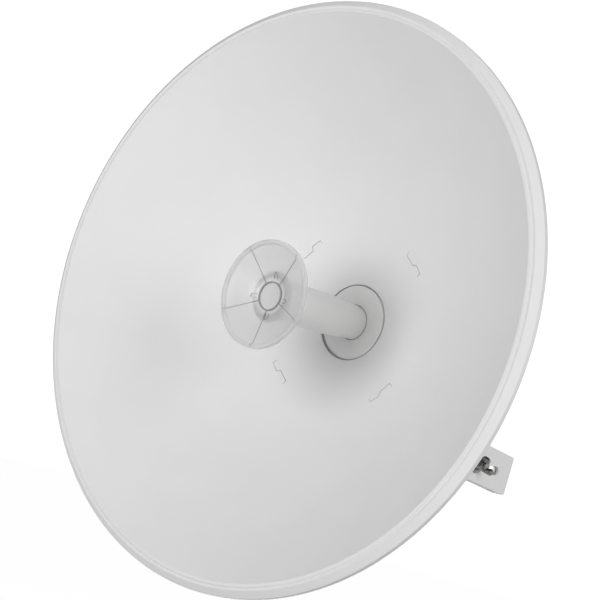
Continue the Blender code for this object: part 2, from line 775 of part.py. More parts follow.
make_pole_bracket(galvanised)
for u_label, u_height in zip(("upper", "lower"), U_BOLT_HEIGHTS):
    make_u_bolt(u_label, u_height, galvanised)
    make_u_bolt_nuts(u_label, u_height, galvanised)
nut_end = washer_face() + NUT_THICK + BOLT_PROUD
wing_end = washer_face() + WING_HUB_HEIGHT + BOLT_PROUD
make_cross_bolt("pivot", PIVOT_BACK, PIVOT_UP, nut_end, galvanised)
make_washers("pivot", PIVOT_BACK, PIVOT_UP, galvanised)
make_pivot_nut(galvanised)
make_cross_bolt("slot", SLOT_BOLT_BACK, SLOT_BOLT_UP, wing_end, dark_zinc)
make_washers("slot", SLOT_BOLT_BACK, SLOT_BOLT_UP, dark_zinc)
make_wing_nut(dark_zinc)

pivot = bpy.data.objects.new("elevation_pivot", None)
MODEL.objects.link(pivot)
pivot.location = at(PIVOT_BACK, PIVOT_UP)
for piece in moving:
    piece.parent = pivot
    piece.matrix_parent_inverse = Matrix.Translation(-pivot.location)
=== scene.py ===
# %% [markdown]
# # A small parabolic dish antenna, dressed for its picture
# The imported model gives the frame: every solid, its place and the body that it moves with.
# This script keeps those places and gives each piece the surface that a camera would see.
# Lengths are metres. The dish looks along -Y, +Z is up, and the origin is on the pad
# where the bracket meets its pole.

import math

import bmesh
import bpy
import numpy as np
from mathutils import Matrix, Vector


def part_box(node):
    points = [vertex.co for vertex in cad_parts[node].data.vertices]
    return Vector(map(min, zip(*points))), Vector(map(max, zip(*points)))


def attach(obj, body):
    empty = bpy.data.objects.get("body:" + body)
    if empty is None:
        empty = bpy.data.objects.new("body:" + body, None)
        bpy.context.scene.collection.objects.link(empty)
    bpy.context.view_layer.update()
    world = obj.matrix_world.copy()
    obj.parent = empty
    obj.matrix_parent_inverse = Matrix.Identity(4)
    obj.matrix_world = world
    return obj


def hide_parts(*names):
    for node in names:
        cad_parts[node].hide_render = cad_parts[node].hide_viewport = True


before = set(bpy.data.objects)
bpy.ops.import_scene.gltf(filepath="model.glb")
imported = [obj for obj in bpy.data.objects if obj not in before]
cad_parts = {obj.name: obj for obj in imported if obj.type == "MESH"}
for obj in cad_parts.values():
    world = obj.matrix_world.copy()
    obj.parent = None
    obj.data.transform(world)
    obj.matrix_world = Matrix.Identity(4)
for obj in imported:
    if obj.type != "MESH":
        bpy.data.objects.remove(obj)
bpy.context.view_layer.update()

# %% [markdown]
# ## Where the dish stands
# A paraboloid has one driving number, its focal length: height = radius squared / (4 f).
# The rim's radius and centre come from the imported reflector, and the vertex, the deepest
# point, follows from them. All turned pieces share the axis through that vertex.

# %% Dish axis and vertex
FOCAL_LENGTH = 0.1543
DISH_EDGE_RADIUS = 0.3103
HUB_HOLE_RADIUS = 0.0440
SHEET = 0.0020

rim_low, rim_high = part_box("reflector")
RIM_RADIUS = (rim_high.x - rim_low.x) / 2
AXIS_Z = (rim_high.z + rim_low.z) / 2


def dish_height(radius):
    """Height of the reflecting surface over the vertex."""
    return radius * radius / (4 * FOCAL_LENGTH)


VERTEX_Y = rim_low.y + dish_height(DISH_EDGE_RADIUS)
AHEAD = Matrix.Translation((0.0, VERTEX_Y, AXIS_Z)) @ Matrix.Rotation(math.pi / 2, 4, "X")
print(f"rim radius {RIM_RADIUS:.3f}, vertex at Y {VERTEX_Y:.4f}, axis at Z {AXIS_Z:.4f}")

# %% [markdown]
# ## The camera
# The outline of the rim is an ellipse in the picture, and its size, place and tilt give
# the camera: a long lens from the dish's right, a little below its axis, rolled so that
# the dish leans. The roll is applied about the camera's own view axis.

# %% Camera
CAMERA_PLACE = Vector((1.12183, -1.72271, -0.21127))
CAMERA_AIM = Vector((0.005406, -0.389544, -0.014406))
CAMERA_ROLL = math.radians(14.888)
CAMERA_LENS = 97.549

camera_data = bpy.data.cameras.new("camera")
camera_data.lens = CAMERA_LENS
camera_data.sensor_width = 36.0
camera = bpy.data.objects.new("camera", camera_data)
bpy.context.scene.collection.objects.link(camera)
sight = (CAMERA_AIM - CAMERA_PLACE).to_track_quat("-Z", "Y").to_matrix().to_4x4()
camera.matrix_world = Matrix.Translation(CAMERA_PLACE) @ sight @ Matrix.Rotation(CAMERA_ROLL, 4, "Z")
camera_data.clip_start = 0.01
camera_data.clip_end = 200.0
bpy.context.scene.camera = camera
print(f"camera {(CAMERA_AIM - CAMERA_PLACE).length:.2f} m from its aim")

# %% [markdown]
# ## The studio
# The picture is a product shot on white: soft light from all round, a little more from
# the right and above, and a floor and backdrop that burn out to plain white. A world
# that lights from everywhere gives the soft part, and large area lamps give the rest.

# %% World, floor and lamps
WORLD_STRENGTH = 0.20
FLOOR_Z = -1.30
FLOOR_SIZE = 60.0
FLOOR_GLOW = 0.80

world = bpy.data.worlds.new("studio")
bpy.context.scene.world = world
world.use_nodes = True
nodes, links = world.node_tree.nodes, world.node_tree.links
soft = nodes["Background"]
soft.inputs["Color"].default_value = (1.0, 1.0, 1.0, 1.0)
soft.inputs["Strength"].default_value = WORLD_STRENGTH
white = nodes.new("ShaderNodeBackground")
white.inputs["Color"].default_value = (1.0, 1.0, 1.0, 1.0)
white.inputs["Strength"].default_value = 1.1
seen = nodes.new("ShaderNodeLightPath")
either = nodes.new("ShaderNodeMixShader")
links.new(seen.outputs["Is Camera Ray"], either.inputs["Fac"])
links.new(soft.outputs["Background"], either.inputs[1])
links.new(white.outputs["Background"], either.inputs[2])
links.new(either.outputs["Shader"], nodes["World Output"].inputs["Surface"])
bpy.context.scene.view_settings.view_transform = "Standard"


def add_lamp(name, place, aim, size, power):
    """A square softbox that looks at a point."""
    data = bpy.data.lights.new(name, "AREA")
    data.shape = "SQUARE"
    data.size = size
    data.energy = power
    lamp = bpy.data.objects.new(name, data)
    bpy.context.scene.collection.objects.link(lamp)
    place, aim = Vector(place), Vector(aim)
    lamp.matrix_world = Matrix.Translation(place) @ (aim - place).to_track_quat("-Z", "Y").to_matrix().to_4x4()
    return lamp


DISH_MIDDLE = (0.0, -0.35, AXIS_Z)
add_lamp("lamp_front", (0.111, -3.540, 0.209), DISH_MIDDLE, 1.8, 48.0)
add_lamp("lamp_front_low", (-0.550, -3.471, -0.459), DISH_MIDDLE, 1.6, 14.0)
add_lamp("lamp_right", (3.023, -0.993, 0.814), DISH_MIDDLE, 1.8, 42.0)
add_lamp("lamp_back_left", (-1.600, 2.700, 1.300), DISH_MIDDLE, 1.8, 40.0)
add_lamp("lamp_back_right", (2.300, 2.600, 0.300), DISH_MIDDLE, 1.8, 26.0)

floor_mesh = bpy.data.meshes.new("floor")
shape = bmesh.new()
bmesh.ops.create_grid(shape, x_segments=1, y_segments=1, size=FLOOR_SIZE / 2)
shape.transform(Matrix.Translation((0.0, 0.0, FLOOR_Z)))
shape.to_mesh(floor_mesh)
shape.free()
floor = bpy.data.objects.new("floor", floor_mesh)
bpy.context.scene.collection.objects.link(floor)
floor.visible_diffuse = False
print("studio made, floor at", FLOOR_Z)

# %% [markdown]
# ## Making pieces
# Each finished piece keeps its object at the origin and holds its place in its mesh, as
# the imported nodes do. Turned pieces are a profile swept round the Z axis and then set
# down with a matrix. The profile is a list of (radius, height) points.

# %% Helpers for meshes
def link_piece(name, mesh, material, body, slot, *nodes_replaced):
    """Put a finished mesh in the scene and say what it moves with and stands for."""
    mesh.materials.clear()
    mesh.materials.append(material)
    piece = bpy.data.objects.new(name, mesh)
    bpy.context.scene.collection.objects.link(piece)
    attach(piece, body)
    if nodes_replaced:
        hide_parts(*nodes_replaced)
    print(f"  {name}: {len(mesh.polygons)} faces")
    return piece


def smooth(mesh, degrees=35):
    mesh.shade_smooth()
    mesh.set_sharp_from_angle(angle=math.radians(degrees))
    return mesh


def fillet(corner, before, after, radius, count=4):
    """Points of an arc that rounds a profile's corner between two neighbours."""
    corner, before, after = Vector(corner), Vector(before), Vector(after)
    u, v = (before - corner).normalized(), (after - corner).normalized()
    half = math.acos(max(-1.0, min(1.0, u.dot(v)))) / 2
    reach = radius / math.tan(half)
    center = corner + (u + v).normalized() * (radius / math.sin(half))
    start, end = corner + u * reach - center, corner + v * reach - center
    turn = start.angle_signed(end)
    points = []
    for index in range(count + 1):
        angle = -turn * index / count
        points.append(center + Matrix.Rotation(angle, 2) @ start)
    return [tuple(point) for point in points]


def rounded(profile, radius, closed=False, count=4):
    """A profile with its corners rounded. A corner may carry its own radius as a third number."""
    points = []
    total = len(profile)
    for index, corner in enumerate(profile):
        own = corner[2] if len(corner) > 2 else radius
        if own <= 0 or (not closed and index in (0, total - 1)):
            points.append(tuple(corner[:2]))
            continue
        before, after = profile[index - 1], profile[(index + 1) % total]
        points += fillet(corner[:2], before[:2], after[:2], own, count)
    return points


def turned(profile, steps, matrix, closed=False):
    """A mesh made by turning a profile about Z. An open profile starts and ends on the axis."""
    shape = bmesh.new()
    rings = []
    for radius, height in profile:
        if radius < 1e-7:
            rings.append([shape.verts.new((0.0, 0.0, height))])
            continue
        ring = []
        for step in range(steps):
            angle = 2 * math.pi * step / steps
            ring.append(shape.verts.new((radius * math.cos(angle), radius * math.sin(angle), height)))
        rings.append(ring)
    pairs = list(zip(rings, rings[1:]))
    if closed:
        pairs.append((rings[-1], rings[0]))
    for upper, lower in pairs:
        for step in range(steps):
            following = (step + 1) % steps
            if len(upper) == 1:
                shape.faces.new((upper[0], lower[step], lower[following]))
            elif len(lower) == 1:
                shape.faces.new((upper[step], lower[0], upper[following]))
            else:
                shape.faces.new((upper[step], lower[step], lower[following], upper[following]))
    bmesh.ops.recalc_face_normals(shape, faces=shape.faces)
    shape.transform(matrix)
    mesh = bpy.data.meshes.new("turned")
    shape.to_mesh(mesh)
    shape.free()
    return smooth(mesh)


def applied(obj):
    """The plain mesh that an object makes with its modifiers. The object is removed."""
    graph = bpy.context.evaluated_depsgraph_get()
    mesh = bpy.data.meshes.new_from_object(obj.evaluated_get(graph))
    bpy.data.objects.remove(obj, do_unlink=True)
    return mesh


def loose(mesh, name="work"):
    """A working object, to take modifiers."""
    obj = bpy.data.objects.new(name, mesh)
    bpy.context.scene.collection.objects.link(obj)
    return obj


def cut(mesh, cutters, operation="DIFFERENCE"):
    """A mesh cut by, or joined with, other meshes."""
    body = loose(mesh)
    tools = [loose(tool, "tool") for tool in cutters]
    for tool in tools:
        boolean = body.modifiers.new("cut", "BOOLEAN")
        boolean.operation = operation
        boolean.solver = "EXACT"
        boolean.object = tool
    result = applied(body)
    for tool in tools:
        bpy.data.objects.remove(tool, do_unlink=True)
    return result


def joined(meshes):
    """Several meshes as one."""
    shape = bmesh.new()
    for mesh in meshes:
        shape.from_mesh(mesh)
    result = bpy.data.meshes.new("joined")
    shape.to_mesh(result)
    shape.free()
    return result


def prism(outline, low, high, matrix):
    """A flat outline in local XY, raised from low to high along local Z."""
    shape = bmesh.new()
    bottom = [shape.verts.new((x, y, low)) for x, y in outline]
    face = shape.faces.new(bottom)
    made = bmesh.ops.extrude_face_region(shape, geom=[face])
    top = [item for item in made["geom"] if isinstance(item, bmesh.types.BMVert)]
    bmesh.ops.translate(shape, verts=top, vec=(0.0, 0.0, high - low))
    bmesh.ops.recalc_face_normals(shape, faces=shape.faces)
    shape.transform(matrix)
    mesh = bpy.data.meshes.new("prism")
    shape.to_mesh(mesh)
    shape.free()
    return mesh


def arc(center, radius, start, end, count):
    """Points on an arc, angles in degrees."""
    points = []
    for index in range(count + 1):
        angle = math.radians(start + (end - start) * index / count)
        points.append((center[0] + radius * math.cos(angle), center[1] + radius * math.sin(angle)))
    return points


# %% [markdown]
# ## Finishes
# One helper builds the node tree that all the hard finishes share: fine grain as bump,
# a broad faint change of tone, and a roughness that is never quite even. Numbers that
# are the same all over sit on the shader's own sockets.

# %% Helper for finishes
def finish(name, color, roughness, metallic=0.0, grain=900.0, grain_depth=0.00004, tone=0.03,
           blotch=14.0, spread=0.08, spangle=0.0):
    """A surface with grain, faint blotches and uneven gloss, in the piece's own coordinates."""
    material = bpy.data.materials.new(name)
    material.use_nodes = True
    nodes, links = material.node_tree.nodes, material.node_tree.links
    shader = nodes["Principled BSDF"]
    shader.inputs["Metallic"].default_value = metallic
    where = nodes.new("ShaderNodeTexCoord")
    broad = nodes.new("ShaderNodeTexNoise")
    broad.inputs["Scale"].default_value = blotch
    broad.inputs["Detail"].default_value = 4.0
    links.new(where.outputs["Object"], broad.inputs["Vector"])
    pattern = broad.outputs["Fac"]
    if spangle:
        crystals = nodes.new("ShaderNodeTexVoronoi")
        crystals.inputs["Scale"].default_value = spangle
        links.new(where.outputs["Object"], crystals.inputs["Vector"])
        blend = nodes.new("ShaderNodeMix")
        blend.inputs["Factor"].default_value = 0.5
        links.new(broad.outputs["Fac"], blend.inputs["A"])
        links.new(crystals.outputs["Color"], blend.inputs["B"])
        pattern = blend.outputs["Result"]
    ramp = nodes.new("ShaderNodeValToRGB")
    ramp.color_ramp.elements[0].position = 0.3
    ramp.color_ramp.elements[1].position = 0.7
    ramp.color_ramp.elements[0].color = (*[value * (1 - tone) for value in color], 1.0)
    ramp.color_ramp.elements[1].color = (*[min(1.0, value * (1 + tone)) for value in color], 1.0)
    links.new(pattern, ramp.inputs["Fac"])
    links.new(ramp.outputs["Color"], shader.inputs["Base Color"])
    gloss = nodes.new("ShaderNodeMapRange")
    gloss.inputs["To Min"].default_value = roughness - spread
    gloss.inputs["To Max"].default_value = roughness + spread
    links.new(pattern, gloss.inputs["Value"])
    links.new(gloss.outputs["Result"], shader.inputs["Roughness"])
    fine = nodes.new("ShaderNodeTexNoise")
    fine.inputs["Scale"].default_value = grain
    fine.inputs["Detail"].default_value = 3.0
    links.new(where.outputs["Object"], fine.inputs["Vector"])
    bump = nodes.new("ShaderNodeBump")
    bump.inputs["Distance"].default_value = grain_depth
    bump.inputs["Strength"].default_value = 1.0
    links.new(fine.outputs["Fac"], bump.inputs["Height"])
    links.new(bump.outputs["Normal"], shader.inputs["Normal"])
    return material


# %% Finishes
white_paint = finish("white_paint", (0.80, 0.80, 0.80), 0.48, grain=650.0, grain_depth=0.00003, tone=0.012)
white_plastic = finish("white_plastic", (0.82, 0.82, 0.815), 0.42, grain=1500.0, grain_depth=0.00001, tone=0.01)
grey_plastic = finish("grey_plastic", (0.33, 0.34, 0.35), 0.52, grain=1400.0, grain_depth=0.00003)
black_rubber = finish("black_rubber", (0.03, 0.03, 0.03), 0.70, grain=1200.0, grain_depth=0.00003)
galvanised = finish("galvanised_steel", (0.58, 0.585, 0.59), 0.42, metallic=1.0, blotch=60.0, tone=0.12,
                    spread=0.12, spangle=130.0)
dark_zinc = finish("dark_zinc", (0.115, 0.113, 0.108), 0.34, metallic=1.0, blotch=420.0, tone=0.60, spread=0.14)
nickel = finish("nickel", (0.62, 0.60, 0.56), 0.26, metallic=1.0, blotch=200.0, tone=0.06)
floor_paper = finish("floor_paper", (0.93, 0.93, 0.93), 0.90, grain=300.0, tone=0.004)
floor_shader = floor_paper.node_tree.nodes["Principled BSDF"]
floor_shader.inputs["Emission Color"].default_value = (1.0, 1.0, 1.0, 1.0)
floor_shader.inputs["Emission Strength"].default_value = FLOOR_GLOW
floor_mesh.materials.append(floor_paper)
print(len(bpy.data.materials), "finishes")

# %% [markdown]
# ## Clear plastic
# The cup is a clear moulding, 2 to 3 mm thick, with a little haze of its own. The eye
# sees through it, and more so face on than at a slant. Light that falls through it is
# bent aside, so its shadow on the dish is nearly that of a solid piece: every ray that
# isn't the camera's own meets a surface that lets little through. The floor of the cup,
# where two mouldings lie on each other, is milkier: an attribute on its points says so.

# %% Clear plastic
HAZE_FACING = 0.34
HAZE_SLANT = 0.85
HAZE_FLOOR = 0.80
SHADE = 0.85
EDGE_SOLID = 0.75

clear_plastic = finish("clear_plastic", (0.86, 0.86, 0.86), 0.16, grain=500.0, grain_depth=0.00001, spread=0.04)
nodes, links = clear_plastic.node_tree.nodes, clear_plastic.node_tree.links
slant = nodes.new("ShaderNodeLayerWeight")
slant.inputs["Blend"].default_value = 0.35
haze = nodes.new("ShaderNodeMapRange")
haze.inputs["To Min"].default_value = HAZE_FACING
haze.inputs["To Max"].default_value = HAZE_SLANT
links.new(slant.outputs["Facing"], haze.inputs["Value"])
sight = nodes.new("ShaderNodeLightPath")
other = nodes.new("ShaderNodeMath")
other.operation = "SUBTRACT"
other.inputs[0].default_value = SHADE
links.new(sight.outputs["Is Camera Ray"], other.inputs[1])
dense = nodes.new("ShaderNodeAttribute")
dense.attribute_name = "dense"
milky = nodes.new("ShaderNodeMath")
milky.operation = "MAXIMUM"
links.new(haze.outputs["Result"], milky.inputs[0])
links.new(dense.outputs["Fac"], milky.inputs[1])
alpha = nodes.new("ShaderNodeMath")
alpha.operation = "MAXIMUM"
links.new(milky.outputs["Value"], alpha.inputs[0])
links.new(other.outputs["Value"], alpha.inputs[1])
links.new(alpha.outputs["Value"], nodes["Principled BSDF"].inputs["Alpha"])

# Painted shade: a dark grey, mostly opaque, that stands for the dark edges and grooves of the clear cup.
painted_edge_shade = finish("painted_edge_shade", (0.42, 0.42, 0.42), 0.20, grain=500.0, grain_depth=0.00001, spread=0.04)
painted_edge_shade.node_tree.nodes["Principled BSDF"].inputs["Alpha"].default_value = EDGE_SOLID


def set_dense(mesh, matrix, value_at):
    """Write the attribute "dense" from each point's radius and height on a turned piece."""
    back = matrix.inverted()
    values = []
    for vertex in mesh.vertices:
        point = back @ vertex.co
        values.append(value_at(point.to_2d().length, point.z))
    mesh.attributes.new("dense", "FLOAT", "POINT").data.foreach_set("value", values)
    return mesh

# %% [markdown]
# ## The reflector's bowl
# The bowl follows a rule, so Geometry Nodes make it: a flat grid whose columns become
# rings and whose rows go round, with every point lifted to radius squared / (4 f). The
# rings' first and last points are merged, and the sheet's thickness comes later.

# %% Bowl as a Geometry Nodes tree
BOWL_RINGS = 72
BOWL_STEPS = 240


def math_node(tree, operation, first, second=None):
    """A Math node with links or numbers on its sockets."""
    node = tree.nodes.new("ShaderNodeMath")
    node.operation = operation
    for socket, value in zip(node.inputs, (first, second)):
        if value is None:
            continue
        if isinstance(value, (int, float)):
            socket.default_value = value
        else:
            tree.links.new(value, socket)
    return node.outputs[0]


def add_input(tree, name, kind, value):
    socket = tree.interface.new_socket(name, in_out="INPUT", socket_type=kind)
    socket.default_value = value
    return socket.identifier


def make_bowl_tree():
    tree = bpy.data.node_groups.new("paraboloid", "GeometryNodeTree")
    tree.interface.new_socket("Geometry", in_out="INPUT", socket_type="NodeSocketGeometry")
    for name, value in (("Inner radius", 0.05), ("Outer radius", 0.3), ("Focal length", 0.15)):
        add_input(tree, name, "NodeSocketFloat", value)
    for name, value in (("Rings", 16), ("Steps", 64)):
        add_input(tree, name, "NodeSocketInt", value)
    add_input(tree, "Finish", "NodeSocketMaterial", None)
    tree.interface.new_socket("Geometry", in_out="OUTPUT", socket_type="NodeSocketGeometry")
    given = tree.nodes.new("NodeGroupInput").outputs
    result = tree.nodes.new("NodeGroupOutput")
    grid = tree.nodes.new("GeometryNodeMeshGrid")
    tree.links.new(given["Rings"], grid.inputs["Vertices X"])
    tree.links.new(given["Steps"], grid.inputs["Vertices Y"])
    place = tree.nodes.new("GeometryNodeInputPosition")
    apart = tree.nodes.new("ShaderNodeSeparateXYZ")
    tree.links.new(place.outputs["Position"], apart.inputs["Vector"])
    outward = math_node(tree, "ADD", apart.outputs["X"], 0.5)
    round_share = math_node(tree, "ADD", apart.outputs["Y"], 0.5)
    span = math_node(tree, "SUBTRACT", given["Outer radius"], given["Inner radius"])
    radius = math_node(tree, "ADD", math_node(tree, "MULTIPLY", outward, span), given["Inner radius"])
    angle = math_node(tree, "MULTIPLY", round_share, 2 * math.pi)
    along_x = math_node(tree, "MULTIPLY", radius, math_node(tree, "COSINE", angle))
    along_y = math_node(tree, "MULTIPLY", radius, math_node(tree, "SINE", angle))
    four_f = math_node(tree, "MULTIPLY", given["Focal length"], 4.0)
    height = math_node(tree, "DIVIDE", math_node(tree, "MULTIPLY", radius, radius), four_f)
    together = tree.nodes.new("ShaderNodeCombineXYZ")
    for axis, value in zip("XYZ", (along_x, along_y, height)):
        tree.links.new(value, together.inputs[axis])
    lift = tree.nodes.new("GeometryNodeSetPosition")
    tree.links.new(grid.outputs["Mesh"], lift.inputs["Geometry"])
    tree.links.new(together.outputs["Vector"], lift.inputs["Position"])
    close = tree.nodes.new("GeometryNodeMergeByDistance")
    close.inputs["Distance"].default_value = 0.00001
    tree.links.new(lift.outputs["Geometry"], close.inputs["Geometry"])
    real = tree.nodes.new("GeometryNodeRealizeInstances")
    tree.links.new(close.outputs["Geometry"], real.inputs["Geometry"])
    coat = tree.nodes.new("GeometryNodeSetMaterial")
    tree.links.new(real.outputs["Geometry"], coat.inputs["Geometry"])
    tree.links.new(given["Finish"], coat.inputs["Material"])
    tree.links.new(coat.outputs["Geometry"], result.inputs["Geometry"])
    return tree


def run_tree(tree, values):
    """The plain mesh that a Geometry Nodes tree makes from named inputs."""
    holder = loose(bpy.data.meshes.new("holder"), "holder")
    modifier = holder.modifiers.new("nodes", "NODES")
    modifier.node_group = tree
    sockets = {item.name: item.identifier for item in tree.interface.items_tree if item.in_out == "INPUT"}
    for name, value in values.items():
        modifier[sockets[name]] = value
    return applied(holder)


bowl = run_tree(make_bowl_tree(), {
    "Inner radius": HUB_HOLE_RADIUS, "Outer radius": DISH_EDGE_RADIUS, "Focal length": FOCAL_LENGTH,
    "Rings": BOWL_RINGS, "Steps": BOWL_STEPS + 1, "Finish": white_paint})
print("bowl", len(bowl.vertices), "points, depth", round(max(point.co.z for point in bowl.vertices), 4))

# %% [markdown]
# ## The reflector's rim
# Outside the bowl the sheet is spun into a flat ledge, a fine crease, a flange that
# slopes back and a rolled hem. Each is one more ring of points: the outer edge of the
# bowl is extruded along that profile, and Solidify then gives the sheet its thickness on
# the back.

# %% Rim, hem and sheet
LEDGE_RADIUS = 0.3145
CREASE_WIDTH = 0.0028
CREASE_DEPTH = 0.0012
FLANGE_DROP = 0.0055
HEM_DEPTH = 0.0055
HEM_ROUND = 0.0014


def rim_profile():
    """(radius, height) from the bowl's edge outwards and over the hem."""
    edge = dish_height(DISH_EDGE_RADIUS)
    rim = edge - FLANGE_DROP
    slope = [
        (LEDGE_RADIUS - CREASE_WIDTH / 2, edge),
        (LEDGE_RADIUS, edge - CREASE_DEPTH),
        (LEDGE_RADIUS + CREASE_WIDTH / 2, edge - CREASE_DEPTH * 0.6),
        (LEDGE_RADIUS + CREASE_WIDTH, edge - 0.0004),
    ]
    tip = rounded([slope[-1], (RIM_RADIUS, rim, HEM_ROUND), (RIM_RADIUS, rim - HEM_DEPTH)], 0.0, count=6)
    return slope + tip[1:]


def extend_rim(mesh, profile):
    shape = bmesh.new()
    shape.from_mesh(mesh)
    bmesh.ops.recalc_face_normals(shape, faces=shape.faces)
    edge_radius = DISH_EDGE_RADIUS
    front = [edge for edge in shape.edges if edge.is_boundary
             and edge.verts[0].co.to_2d().length > edge_radius - 0.001]
    for radius, height in profile:
        made = bmesh.ops.extrude_edge_only(shape, edges=front)
        front = [item for item in made["geom"] if isinstance(item, bmesh.types.BMEdge)
                 and item.is_boundary]
        for vert in {vert for edge in front for vert in edge.verts}:
            flat = vert.co.to_2d().normalized() * radius
            vert.co = (flat.x, flat.y, height)
    bmesh.ops.recalc_face_normals(shape, faces=shape.faces)
    lowest = min(shape.faces, key=lambda face: face.calc_center_median().to_2d().length)
    if lowest.normal.z < 0:
        bmesh.ops.reverse_faces(shape, faces=shape.faces)
    shape.to_mesh(mesh)
    shape.free()
    return mesh


sheet = loose(extend_rim(bowl, rim_profile()), "sheet")
thicken = sheet.modifiers.new("sheet", "SOLIDIFY")
thicken.thickness = SHEET * 0.8
thicken.offset = -1.0
thicken.use_even_offset = True
reflector_mesh = applied(sheet)
print("reflector sheet", len(reflector_mesh.polygons), "faces")

# %% [markdown]
# ## The lanced slits
# Over each standoff the sheet is slit in the form of a flat Z. Each slit is drawn as a
# path of (radius, degrees) points, widened to a ribbon and cut straight through the
# sheet, so that the dark gap behind shows as it does on the real dish.

# %% Slits
SLIT_WIDTH = 0.0006
SLIT_PATH = (
    (0.1070, -8.6), (0.1015, -8.3), (0.1013, 0.4), (0.1058, 1.6), (0.1060, 8.2), (0.1012, 8.8))
SLIT_TURNS = (45, 135, 225, 315)


def ribbon(points, width):
    """The outline of a line with a width, mitred at its corners."""
    left, right = [], []
    for index, point in enumerate(points):
        before = (point - points[index - 1]).normalized() if index else None
        after = (points[index + 1] - point).normalized() if index + 1 < len(points) else None
        before, after = before or after, after or before
        along = (before + after).normalized()
        normal = Vector((-along.y, along.x))
        reach = width / 2 / max(0.4, normal.dot(Vector((-after.y, after.x))))
        left.append(point + normal * reach)
        right.append(point - normal * reach)
    return left + right[::-1]


slit_cutters = []
for turn in SLIT_TURNS:
    path = []
    for (radius, degrees), (next_radius, next_degrees) in zip(SLIT_PATH, SLIT_PATH[1:] + SLIT_PATH[-1:]):
        count = max(1, round(abs(next_degrees - degrees) / 2))
        for index in range(count):
            share = index / count
            angle = math.radians(turn + degrees + (next_degrees - degrees) * share)
            reach = radius + (next_radius - radius) * share
            path.append(Vector((reach * math.sin(angle), reach * math.cos(angle))))
    low = dish_height(0.095) - 0.004
    high = dish_height(0.112) + 0.004
    slit_cutters.append(prism(ribbon(path, SLIT_WIDTH), low, high, Matrix.Identity(4)))
reflector_mesh = cut(reflector_mesh, slit_cutters)
reflector_mesh.transform(AHEAD)
smooth(reflector_mesh, 30)
link_piece("reflector_spun", reflector_mesh, white_paint, "dish", "white_paint", "reflector")

# %% [markdown]
# ## The feed's own axis
# The feed sits a little askew in its socket, as it does in the picture: it droops and
# leans to one side by two or three degrees. One matrix holds that, and the flange leans
# with it. A second matrix keeps the dish's own axis, flat in the hub hole.

# %% Feed axis
FLANGE_RADIUS = 0.0424
FEED_SAG = math.radians(2.8)
FEED_SWING = math.radians(-2.1)

hub = Vector((0.0, VERTEX_Y - dish_height(FLANGE_RADIUS), AXIS_Z))
lean = Matrix.Rotation(FEED_SWING, 4, "Z") @ Matrix.Rotation(FEED_SAG, 4, "X")
FEED = Matrix.Translation(hub) @ lean @ Matrix.Rotation(math.pi / 2, 4, "X")
HUB = Matrix.Translation(hub) @ Matrix.Rotation(math.pi / 2, 4, "X")

# %% [markdown]
# ## Flange and tube
# The flange is a turned ring in the hub hole. It leans with the feed, so that the dark
# gap round it is wide on one side and closes on the other. The tube stands in its socket
# on a slimmer neck and swells to its full width within 40 mm; a plate on its far end
# carries the cup. A small latch on top of the neck locks the two together.

# %% Feed flange, tube and latch
FLANGE_THICK = 0.0050
SOCKET_RADIUS = 0.0203
TUBE_SEAT = 0.0025
NECK_RADIUS = 0.0195
COLLAR_RADIUS = 0.0207
TUBE_RADIUS = 0.0220
TUBE_END_RADIUS = 0.0280
CUP_FRONT = 0.1559
CUP_FLOOR_DEPTH = 0.0140
CUP_SHEET = 0.0020
GAP = 0.0003

flange = rounded([
    (SOCKET_RADIUS, -FLANGE_THICK), (SOCKET_RADIUS, 0.0, 0.0006), (FLANGE_RADIUS, 0.0, 0.0007),
    (FLANGE_RADIUS, -FLANGE_THICK)], 0.0, closed=True)
link_piece("feed_flange_disc", turned(flange, 128, FEED, closed=True), white_plastic, "dish",
           "white_plastic", "feed_flange")

tube_top = CUP_FRONT - CUP_FLOOR_DEPTH - CUP_SHEET - GAP
tube = rounded([
    (0.0, tube_top), (TUBE_END_RADIUS, tube_top, 0.0006), (TUBE_END_RADIUS, tube_top - 0.0025, 0.0006),
    (TUBE_RADIUS + 0.0003, tube_top - 0.0040, 0.0012), (TUBE_RADIUS, 0.0370, 0.010),
    (COLLAR_RADIUS, 0.0250, 0.006), (COLLAR_RADIUS - 0.0002, 0.0170, 0.003), (NECK_RADIUS, 0.0100, 0.004),
    (NECK_RADIUS, 0.0, 0.0), (NECK_RADIUS, -TUBE_SEAT), (0.0, -TUBE_SEAT)], 0.0, count=6)
tube_mesh = turned(tube, 96, FEED)


def rounded_box(size, place, turn, radius=0.0004):
    """A small block with rounded edges: its size, the middle of its base, its turn about Z."""
    shape = bmesh.new()
    bmesh.ops.create_cube(shape, size=1.0)
    bmesh.ops.scale(shape, vec=size, verts=shape.verts)
    bmesh.ops.translate(shape, vec=(0.0, 0.0, size[2] / 2), verts=shape.verts)
    bmesh.ops.bevel(shape, geom=shape.edges, offset=radius, segments=3, affect="EDGES", profile=0.5)
    shape.transform(Matrix.Translation(place) @ turn)
    mesh = bpy.data.meshes.new("box")
    shape.to_mesh(mesh)
    shape.free()
    return mesh


LATCH_TURN = Matrix.Rotation(math.radians(7), 4, "Z")
latch = rounded_box((0.0060, 0.0060, 0.0070), (0.0, 0.0, 0.0), Matrix.Identity(4), 0.0006)
latch.transform(FEED @ LATCH_TURN @ Matrix.Translation((0.0, COLLAR_RADIUS - 0.0024, 0.0180)))
notch = rounded_box((0.0110, 0.0060, 0.0016), (0.0, 0.0, 0.0), Matrix.Identity(4), 0.0003)
notch.transform(FEED @ LATCH_TURN @ Matrix.Translation((0.0, NECK_RADIUS + 0.0014, 0.0085)))
tube_mesh = smooth(joined([cut(tube_mesh, [notch]), latch]))
link_piece("feed_tube_body", tube_mesh, white_plastic, "dish", "white_plastic", "feed_tube")
